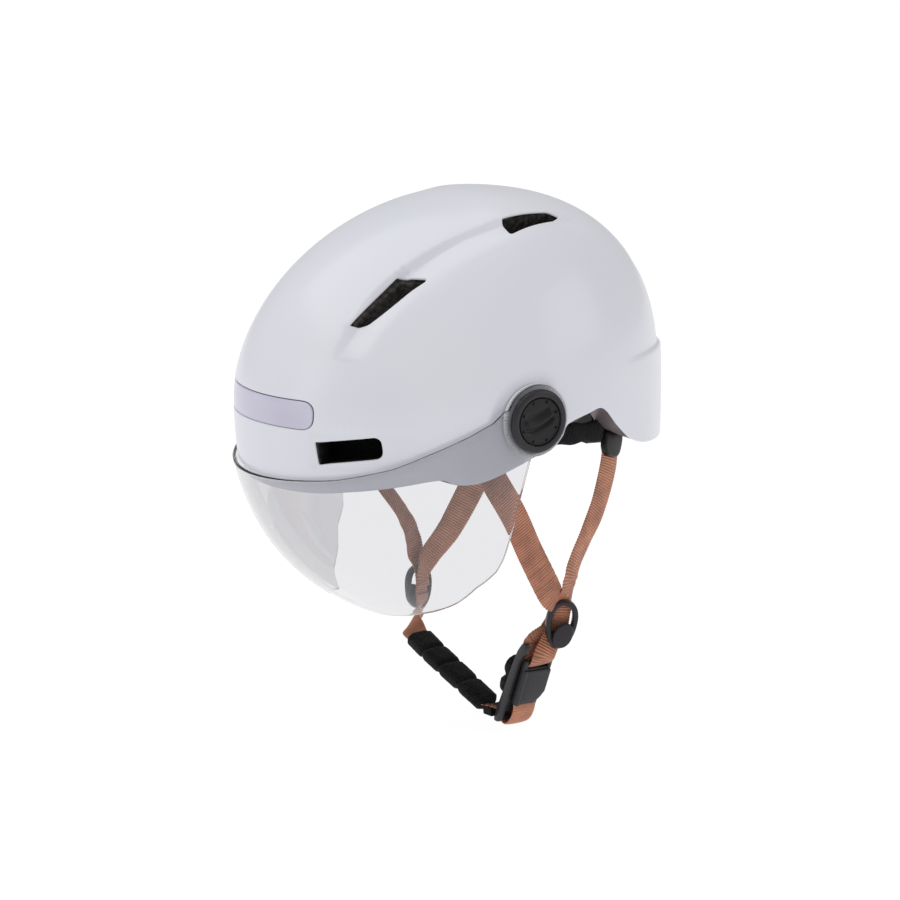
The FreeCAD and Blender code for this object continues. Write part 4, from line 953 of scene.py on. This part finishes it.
def webbing(name, body, route, replaced, wrinkles=()):
    """A woven band. Each route row is a point, the way its flat side looks and, where it is narrower,
    its width; wrinkles are (first, last, height), with first and last as shares of the length."""
    rough = np.array([[*point, *unit(look), *(width or [WEB_WIDTH])] for point, look, *width in route])
    length = np.sum(np.linalg.norm(np.diff(spline(rough, 60)[:, :3], axis=0), axis=1))
    rows = max(12, int(length / ROW_STEP))
    path = spline(rough, rows)
    middles = path[:, :3]
    runs = units(np.gradient(middles, axis=0))
    sides = units(np.cross(runs, path[:, 3:6]))
    ups = np.cross(sides, runs)
    travel = np.linspace(0, length, rows)
    rib = np.cos(2 * math.pi * travel / RIB_PITCH)
    lift = np.zeros(rows)
    for first, last, height in wrinkles:
        share = (travel / length - first) / (last - first)
        lift += np.where((share > 0) & (share < 1), height * np.sin(math.pi * np.clip(share, 0, 1)), 0)
    columns = 15
    across = np.sin(np.linspace(-math.pi / 2, math.pi / 2, columns))
    body_thick = (1 - np.abs(across) ** EDGE_POWER) ** 0.5
    rings = []
    uvs = []
    for i in range(rows):
        half = path[i, 6] / 2 + 0.14 * rib[i]
        thick = (WEB_THICK / 2 + 0.17 * rib[i]) * body_thick
        crown = lift[i] * (1 - 0.3 * across ** 2) - 0.35 * across ** 2
        base = middles[i] + sides[i] * (half * across)[:, None]
        top = base + ups[i] * (crown + thick)[:, None]
        low = base + ups[i] * (crown - thick)[:, None]
        rings.append(np.vstack([top, low[-2:0:-1]]))
        flat = across * path[i, 6] / 2
        flat = np.concatenate([flat, flat[-2:0:-1]])
        uvs.append(np.stack([flat, np.full(len(flat), travel[i])], -1))
    points, faces = lofted(rings)
    band = outward(make(name, points, faces, WEBBING, angle=70, uvs=np.vstack(uvs)))
    return enrol(band, body, "copper_webbing", *replaced)


def frame_of(origin, across, up):
    """A function from local (across, up, out) to the helmet's millimetres."""
    x = unit(across)
    z = unit(np.cross(x, up))
    axes = np.array([x, np.cross(z, x), z])

    def place(points):
        return np.asarray(origin, float) + np.asarray(points, float) @ axes
    return place


def divider_frame(middle, up, look, lean):
    """The frame of a divider that looks outwards and leans to one side."""
    up = unit(up)
    across = unit(np.cross(up, look))
    turned = up * math.cos(lean) + across * math.sin(lean)
    return frame_of(middle, np.cross(turned, np.cross(across, up)), turned)


divider_left = divider_frame((78, 33.3, -138.7), (0.12, -0.2, 1), (0.9, -0.35, 0.1), math.radians(14))
divider_right = divider_frame((-72, 20.7, -151.6), (-0.12, 0.1, 1), (-0.95, -0.05, 0.08), 0.0)
buckle = frame_of((57.5, 22.5, -180), (-0.017, 0.9975, -0.047), (0.346, 0.05, 0.937))


def at(place, *local):
    """One point of a local frame."""
    return tuple(place(local))


# Looks of the webbing's flat side that recur along the routes.
OUT_LEFT = (0.9, -0.35, 0.1)
SIDE_LEFT = (1, -0.05, 0.1)
BACK_LEFT = (0.84, 0.42, 0.25)
OUT_RIGHT = (-0.9, -0.3, 0.1)
BACK_RIGHT = (-0.85, 0.5, 0.2)
webbing("front_web_left", "helmet", [
    ((88.4, -37, -14), SIDE_LEFT), ((87.4, -23.9, -36.6), SIDE_LEFT),
    ((86, -8.1, -61.5), SIDE_LEFT), ((84, 5, -86.3), SIDE_LEFT),
    ((81, 18.2, -108.7), (1, -0.15, 0.2)), ((79.2, 25.5, -119.5), (1, -0.2, 0.15), 16.8),
    (at(divider_left, -1.6, 12.5, -5.2), OUT_LEFT, 14.2), (at(divider_left, -0.5, 4, -4.6), OUT_LEFT, 12.5),
    (at(divider_left, 0, -7, -5.5), OUT_LEFT, 12.0)],
    ["front_strap_left"],
    [(0.56 + 0.037 * i, 0.60 + 0.037 * i, height)
     for i, height in enumerate((0.35, 0.55, 0.75, 0.85, 0.7, 0.5))])
webbing("rear_web_left", "helmet", [
    ((60, 80, -8), BACK_LEFT), ((61.5, 80, -29), BACK_LEFT),
    ((65, 76.4, -46), (0.84, 0.40, 0.25)), ((70.6, 65.2, -68.8), (0.80, 0.50, 0.25)),
    ((74.6, 53.6, -85), (0.74, 0.60, 0.22)), ((77, 43.6, -100), (0.76, 0.56, 0.22), 17),
    ((78.2, 38.9, -111), (0.84, 0.42, 0.2), 15.5),
    (at(divider_left, 1.5, 14, -7.2), (0.9, 0.2, 0.15), 13.5),
    (at(divider_left, 1, 6, -8.2), (0.85, -0.1, 0.1), 12)],
    ["rear_strap_left"], [(0.80, 0.84, 0.5), (0.85, 0.89, 0.5)])
webbing("front_web_right", "helmet", [
    ((-88.4, -37, -14), (-0.72, -0.69, 0.1)), ((-86.6, -23.9, -38), (-0.64, -0.77, 0.1)),
    ((-83, -6, -70), (-0.62, -0.78, 0.1)), ((-80.4, 12, -96), (-0.66, -0.74, 0.1)),
    ((-78.8, 21, -114), (-0.80, -0.50, 0.1), 17.5), ((-76, 23, -131), (-0.9, -0.2, 0.1), 15),
    (at(divider_right, 0, 8, -5), OUT_RIGHT, 12.6), (at(divider_right, 0, -7, -5.5), OUT_RIGHT, 12)],
    ["front_strap_right"], [(0.62, 0.67, 0.6), (0.7, 0.75, 0.6)])
webbing("rear_web_right", "helmet", [
    ((-62, 80, -10), BACK_RIGHT), ((-62, 80.5, -29), BACK_RIGHT),
    ((-64, 76, -50), BACK_RIGHT), ((-66, 64, -80), BACK_RIGHT),
    ((-68.6, 45.5, -112), (-0.9, 0.4, 0.1), 17), ((-70.6, 30, -131), (-0.9, 0.3, 0.1), 15),
    (at(divider_right, 0.5, 10, -7.6), (-0.9, -0.2, 0.1), 12.6),
    (at(divider_right, 0.5, 2, -8.4), OUT_RIGHT, 12)],
    ["rear_strap_right"], [(0.8, 0.85, 0.5)])
loop_band = webbing("loop_web", None, [
    (at(divider_left, 0, -3, -7.2), OUT_LEFT, 11.5), (at(divider_left, -2.4, -11.5, -6.8), OUT_LEFT, 12.5),
    (at(buckle, 2.2, 25.5, 4.4), (0.9, -0.3, 0.1), 14), (at(buckle, 0.8, 21.0, 5.2), (1, 0, 0), 15),
    (at(buckle, 0, 17.2, 3.9), (0.3, 0, -1), 16), (at(buckle, 0, 16.6, 1.4), (-0.7, 0, -0.7), 16),
    (at(buckle, -0.6, 20.5, -1.6), (-1, 0, -0.1), 16), (at(buckle, -2.6, 28, -4.6), (-1, -0.1, 0.2), 15.5),
    (at(divider_left, -5.0, -9.5, -11.5), (-1, 0.2, 0.3), 13.5),
    (at(divider_left, -1.2, -1, -10.6), (-1, 0.3, 0), 12.4)],
    ["chin_strap_left"])
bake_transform(loop_band)
webbing("chin_web_right", "helmet", [
    (at(divider_right, 0, -4, -7), OUT_RIGHT, 12),
    (at(divider_right, 0, -15, -4.5), (-0.85, -0.38, 0.3), 12.5),
    ((-61, 11, -169.2), (-0.75, -0.38, 0.6), 14.5), ((-52, 6.8, -172.4), (-0.35, -0.15, 1), 15.5),
    ((-40, 4.3, -174.2), (-0.2, 0, 1), 15.5)],
    ["chin_strap_right"])
webbing("chin_web_end", "helmet", [
    ((29, 7.2, -196), (-0.2, 0, 1), 14.5), ((34, 9.5, -198), (-0.25, 0, 1), 14.5),
    ((38, 15, -201.2), (-0.3, 0, 1), 16), (at(buckle, -1.5, -26.0, -7.4), (-0.6, 0, 0.8), 17),
    (at(buckle, -1.2, -30.4, -4.8), (-0.3, 0, -1), 16.5),
    (at(buckle, -1.0, -30.8, -1.0), (0.6, 0, -0.8), 16.3),
    (at(buckle, -1.0, -26.5, 2.6), (1, 0, -0.2), 16.2),
    (at(buckle, -1.0, -20.5, 4.2), (1, 0, -0.1), 16.2), (at(buckle, -1.0, -14.5, 3.6), (0.9, 0, 0.4), 16.2),
    (at(buckle, -1.0, -10.5, 0.6), (0.5, 0, 0.8), 16.2)],
    ["chin_strap_end"])

# ---------------------------------------------------------------- dividers and buckle
def loop_section(outline, low, high, round_edge, steps=4, side=1):
    """Rings that sweep an outline from low to high with rounded edges; side is -1 inside a hole."""
    normal = outline_normals(outline) * side
    rings = []
    for end, sign in ((low, 1), (high, -1)):
        for step in range(steps + 1):
            angle = math.pi / 2 * (step if sign > 0 else steps - step) / steps
            flat = outline - normal * round_edge * (1 - math.sin(angle))
            height = end + sign * round_edge * (1 - math.cos(angle))
            rings.append(np.column_stack([flat, np.full(len(flat), height)]))
    return rings


def slab(outline, low, high, round_edge):
    """A flat plate with rounded edges."""
    return lofted(loop_section(np.asarray(outline, float), low, high, round_edge))


def frame_ring(outer, inner, low, high, round_edge):
    """A flat frame between two outlines of equal count, with rounded edges."""
    hole = loop_section(inner, low, high, round_edge, 3, -1)
    rings = loop_section(outer, low, high, round_edge) + hole[::-1]
    return np.vstack(rings), grid_faces(len(rings), len(outer), True)


def oval(half_width, half_height, shift=(0, 0), taper=0.0, power=2.0, count=96, turn=0.0):
    """An oval, narrower towards its lower end by the taper."""
    t = full_turn(count)
    x = half_width * swell(np.cos(t), 2 / power)
    y = half_height * swell(np.sin(t), 2 / power)
    x = x * (1 + taper * y / half_height)
    return np.stack([x * math.cos(turn) - y * math.sin(turn) + shift[0],
                     x * math.sin(turn) + y * math.cos(turn) + shift[1]], -1)


def placed(name, solids, place, material, body, replaced=(), slot="black_plastic", angle=35.0):
    """One piece from several solids of a local frame."""
    points, faces = joined(solids)
    piece = outward(make(name, place(points), faces, material, angle=angle))
    return enrol(piece, body, slot, *replaced)


for side, place in (("left", divider_left), ("right", divider_right)):
    outer = oval(9.9, 16.2, (0, -0.4), 0.13, 2.25)
    inner = oval(6.6, 12.4, (0, 0.4), 0.14, 2.15)
    ring = frame_ring(outer, inner, -4.6, 0.2, 1.1)
    seat = slab(oval(7.0, 4.6, (0, -10.2), 0, 2.2, 60), -3.6, -0.6, 0.8)
    placed(f"divider_{side}", [ring, seat], place, CHARCOAL, "helmet", [f"strap_divider_{side}"])
    turn = math.radians(-14)
    flap = slab(oval(6.1, 8.5, (1.1, -6.5), 0, 2.1, 96, turn), 0.35, 3.1, 1.15)
    cheeks = slab(oval(2.0, 1.3, (0.0, -13.2), 0, 2.2, 40), -0.1, 1.2, 0.5)
    placed(f"lock_flap_{side}", [flap, cheeks], place, CHARCOAL, f"lock_{side}", [f"divider_lock_{side}"])


def tube(points, radius, sides=20):
    """A round rod through points, with rounded ends."""
    path = spline(np.asarray(points, float), 24)
    runs = units(np.gradient(path, axis=0))
    side = units(np.cross(runs, (0.13, 0.21, 0.97)))
    up = np.cross(side, runs)
    angle = full_turn(sides)
    rings = []
    caps = [0.35, 0.7, 0.92]
    sizes = caps + [1.0] * (len(path) - 6) + caps[::-1]
    for i, share in enumerate(sizes):
        section = side[i] * np.cos(angle)[:, None] + up[i] * np.sin(angle)[:, None]
        rings.append(path[i] + radius * share * section)
    return lofted(rings)


# The plate: a smooth face with a chamfered lower corner, a raised left border and a bar for the loop.
plate_face = rounded([(-7.6, -10.5), (5.6, -10.5), (10.4, -4.4), (10.4, 13.2), (-7.6, 13.2)], 1.6, 0.5)
plate_skirt = rounded([(-9.8, -13.4), (5.8, -13.4), (10.2, -8.4), (10.2, 14.2), (-9.8, 14.2)], 1.4, 0.5)
plate_border = rectangle(-9.9, -12.6, -7.2, 14.0, 1.0, 0.4)
foot = rounded([(-5.5, -16.5), (3.8, -16.5), (5.4, -12.8), (5.4, -11.0), (-5.5, -11.0)], 0.9, 0.4)
arm_left = rectangle(-10.0, 12.5, -7.4, 20.4, 1.1, 0.4)
arm_right = rectangle(7.8, 12.5, 10.4, 20.4, 1.1, 0.4)
placed("plate_body", [
    slab(plate_skirt, 0.1, 3.9, 0.6), slab(plate_face, 3.2, 5.4, 0.8), slab(plate_border, 3.4, 5.9, 0.7),
    slab(foot, 0.6, 3.4, 0.6), slab(arm_left, 0.2, 4.4, 0.8), slab(arm_right, 0.2, 4.4, 0.8),
    tube([(-9.5, 18.6, 2.4), (0, 18.6, 2.4), (9.9, 18.6, 2.4)], 1.75)],
    buckle, CHARCOAL, "buckle_plate", ["buckle_plate"])
# The base: a tray whose left wall runs up into a hook and down to the lower bar.
rail = rounded([(-31.5, -6.6), (-27.0, -7.6), (-10, -6.4), (8, -5.4), (24.6, -3.6), (31.4, -1.2),
                (33.4, 1.6), (31.8, 4.2), (27.0, 4.0), (21.6, 1.4), (15.5, 0.6), (2, 0.4),
                (-12, 0.2), (-22.0, -0.6), (-29.4, -1.6)], 2.0, 0.5)
rail_points, rail_faces = slab(rail, -1.55, 1.55, 0.7)


def rail_at(middle):
    """The side wall, whose outline lies in the plane of up and out."""
    return np.stack([rail_points[:, 2] + middle, rail_points[:, 0], rail_points[:, 1]], -1), rail_faces


tray = rectangle(-11.0, -21.8, 10.2, 13.0, 2.4, 0.5)
placed("base_body", [
    slab(tray, -5.4, -0.9, 1.0), rail_at(-11.9), rail_at(9.6),
    tube([(-12.4, -27.4, -3.6), (0, -27.4, -3.6), (10.0, -27.4, -3.6)], 1.7),
    tube([(-12.6, -30.6, -5.6), (-2, -31.6, -5.4), (9.8, -31.2, -5.2)], 1.15)],
    buckle, CHARCOAL, "helmet", ["buckle_base"])


def cushion(place, size, waist, name, material, replaced, rows=44, columns=64):
    """A soft block pinched across its middle; size is (half width, half height, low, high)."""
    half_width, half_height, low, high = size
    rings = []
    for i in range(rows):
        tilt = math.pi * (i + 0.5) / rows - math.pi / 2
        t = full_turn(columns)
        flat = np.abs(np.cos(tilt)) ** 0.5
        x = half_width * flat * swell(np.cos(t), 0.55)
        y = half_height * flat * swell(np.sin(t), 0.55)
        pinch = 1 - waist * np.exp(-((y - waist) / 2.4) ** 2)
        x = x * (1 - 0.35 * (1 - pinch))
        z = (low + high) / 2 + (high - low) / 2 * swell(math.sin(tilt), 0.6) * pinch
        wobble = 0.16 * np.sin(1.7 * x + 0.6 * y) * np.cos(1.3 * y - 0.4 * x)
        rings.append(np.stack([x, y, z + wobble], -1))
    piece = placed(name, [lofted(rings)], place, material, "helmet", replaced, "pad_fabric", 80)


def fleece_place(points):
    """The fleece pad sits a little left of and above the buckle's middle."""
    return buckle(np.asarray(points, float) + (-3.2, 2.2, 0))


cushion(fleece_place, (11.0, 14.2, -12.2, -4.6), 0.55, "buckle_fleece", FLEECE, ["buckle_pad"])

# ---------------------------------------------------------------- fit band and strap guides
FIT_PATH = [(83.0, -33, -20), (82.5, -14, -18), (80.5, 12, -17.5), (76.5, 36, -18), (70.5, 58, -20.5),
            (60.0, 78, -23.5), (45.0, 93.5, -26.5), (24.0, 101.5, -29.0)]


def fit_band(sign):
    """A soft lobed band from the temple pin to the dial housing, thicker at each lobe."""
    path = spline(np.array(FIT_PATH) * (sign, 1, 1), 170)
    runs = np.gradient(path, axis=0)
    rings = []
    for i, middle in enumerate(path):
        share = i / (len(path) - 1)
        run = unit(runs[i])
        side = unit(np.cross((0, 0, 1), run)) * sign
        t = full_turn(40)
        end = min(1.0, (0.5 - abs(share - 0.5)) / 0.05 + 0.05) ** 0.5
        end *= 1 - 0.4 * float(smooth((share - 0.8) / 0.08))
        lobe = 0.5 + 0.5 * math.cos(2 * math.pi * 6.5 * share)
        half_height = (6.4 + 1.5 * lobe) * end
        half_thick = (1.6 + 0.9 * lobe) * end
        rise = half_height * swell(np.sin(t), 0.7)
        rise = np.where(rise > 0, rise * 0.8, rise)
        out = half_thick * swell(np.cos(t), 0.7)
        rings.append(middle + side * out[:, None] + np.array((0, 0, 1)) * rise[:, None])
    return lofted(rings)


for side, sign in SIDES:
    placed(f"fit_band_{side}", [fit_band(sign)], lambda points: points, PAD, "fit_ring",
           [f"fit_arm_{side}"])
    look = unit((0.84 * sign, 0.40, 0.25))
    hang = unit((0.14 * sign, -0.16, -0.97))
    guide = frame_of((63.6 * sign, 78.0, -38.0), np.cross(look, hang), -hang)
    tongue = rounded([(-9.6, 14), (9.6, 14), (10.2, 7), (8.0, -0.5), (4.6, -3.2), (-6.8, -2.4), (-10.2, 3)],
                     3.0, 0.6)
    placed(f"guide_{side}", [slab(tongue, -1.4, 3.4, 1.4)], guide, BLACK, "helmet", [f"strap_guide_{side}"])

# ---------------------------------------------------------------- chin pad
PAD_PATH = spline([(-45, 4.5, -173.0), (-42, 4.3, -173.8), (-24, 3.2, -178), (-3, 3, -183), (17, 5, -190),
                   (33, 8.6, -197.6), (35.4, 9.4, -198.8)], 150)
PAD_SEAMS = (0.27, 0.50, 0.73)


def chin_pad():
    """A quilted sleeve: four lobes between three stitched seams, scalloped along its front edge."""
    rings = []
    count = len(PAD_PATH)
    runs = np.gradient(PAD_PATH, axis=0)
    for i, middle in enumerate(PAD_PATH):
        share = i / (count - 1)
        run = unit(runs[i])
        side = unit(np.cross(run, (-0.2, 0, 1)))
        up = np.cross(side, run)
        pinch = 1.0
        for seam in PAD_SEAMS:
            pinch -= 0.42 * math.exp(-((share - seam) / 0.022) ** 2)
        end = min(1.0, ((0.5 - abs(share - 0.5)) / 0.055 + 0.02)) ** 0.45
        t = full_turn(56)
        width = 9.2 * end * (0.90 + 0.10 * pinch)
        thick = 5.2 * end * pinch
        x = width * swell(np.cos(t), 0.7)
        y = thick * swell(np.sin(t), 0.75)
        wobble = 1 + 0.035 * np.sin(9 * t + 41 * share) * np.cos(63 * share)
        rings.append(middle + side * x[:, None] + up * (y * wobble)[:, None])
    piece = placed("chin_sleeve", [lofted(rings)], lambda points: points, PAD, "helmet", ["chin_pad"],
                   "pad_fabric", 80)


chin_pad()

# ---------------------------------------------------------------- finishes of the CAD pieces that stay
# Every other piece is black plastic.
FINISHES = {
    "foam_liner": FOAM, "rim_trim": RIM, "visor_washer_left": NYLON, "visor_washer_right": NYLON,
    "pivot_insert_left": BRASS, "pivot_insert_right": BRASS, "insert_screws": STEEL,
    "plate_magnet": STEEL, "base_magnet": STEEL, "brow_pad": PAD, "crown_pad": PAD,
    "side_pad_left": PAD, "side_pad_right": PAD,
}
for name, node in nodes.items():
    look = FINISHES.get(name, BLACK)
    for material_slot in node.material_slots:
        material_slot.material = look


# ---------------------------------------------------------------- studio
def area_light(name, place, target, size, power):
    """A soft rectangular lamp that faces a target."""
    data = bpy.data.lights.new(name, "AREA")
    data.shape = "RECTANGLE"
    data.size, data.size_y = size
    data.energy = power
    lamp = bpy.data.objects.new(name, data)
    scene.collection.objects.link(lamp)
    lamp.location = place
    lamp.rotation_mode = "QUATERNION"
    lamp.rotation_quaternion = (Vector(target) - Vector(place)).to_track_quat("-Z", "Y")


FLOOR_Z = -0.2135
# Places, targets and sizes from here on are in metres, powers in watts.
area_light("key", (-0.3, -0.6, 2.0), (0, 0, 0), (2.4, 2.4), 24)
area_light("fill", (1.6, 1.6, 0.9), (0, 0, 0), (1.4, 1.4), 8)
area_light("front", (0.2, -2.2, 0.6), (0, 0, -0.05), (1.0, 1.2), 4)

FLOOR_HALF = 9.0
floor_corners = [(-1, -1), (1, -1), (1, 1), (-1, 1)]
floor_mesh = bpy.data.meshes.new("studio_floor")
floor_mesh.from_pydata([(FLOOR_HALF * x, FLOOR_HALF * y, FLOOR_Z) for x, y in floor_corners], [],
                       [(0, 1, 2, 3)])
floor = bpy.data.objects.new("studio_floor", floor_mesh)
scene.collection.objects.link(floor)
floor_look = Nodes("studio_floor")
floor_look.set(Base_Color=(0.12, 0.12, 0.12, 1), Roughness=0.9, Specular_IOR_Level=0.0,
               Emission_Color=(1, 1, 1, 1), Emission_Strength=0.95)
floor_mesh.materials.append(floor_look.material)
world = bpy.data.worlds.new("studio")
world.use_nodes = True
world.node_tree.nodes["Background"].inputs["Color"].default_value = (1.0, 1.0, 1.0, 1)
world.node_tree.nodes["Background"].inputs["Strength"].default_value = 0.50
scene.world = world
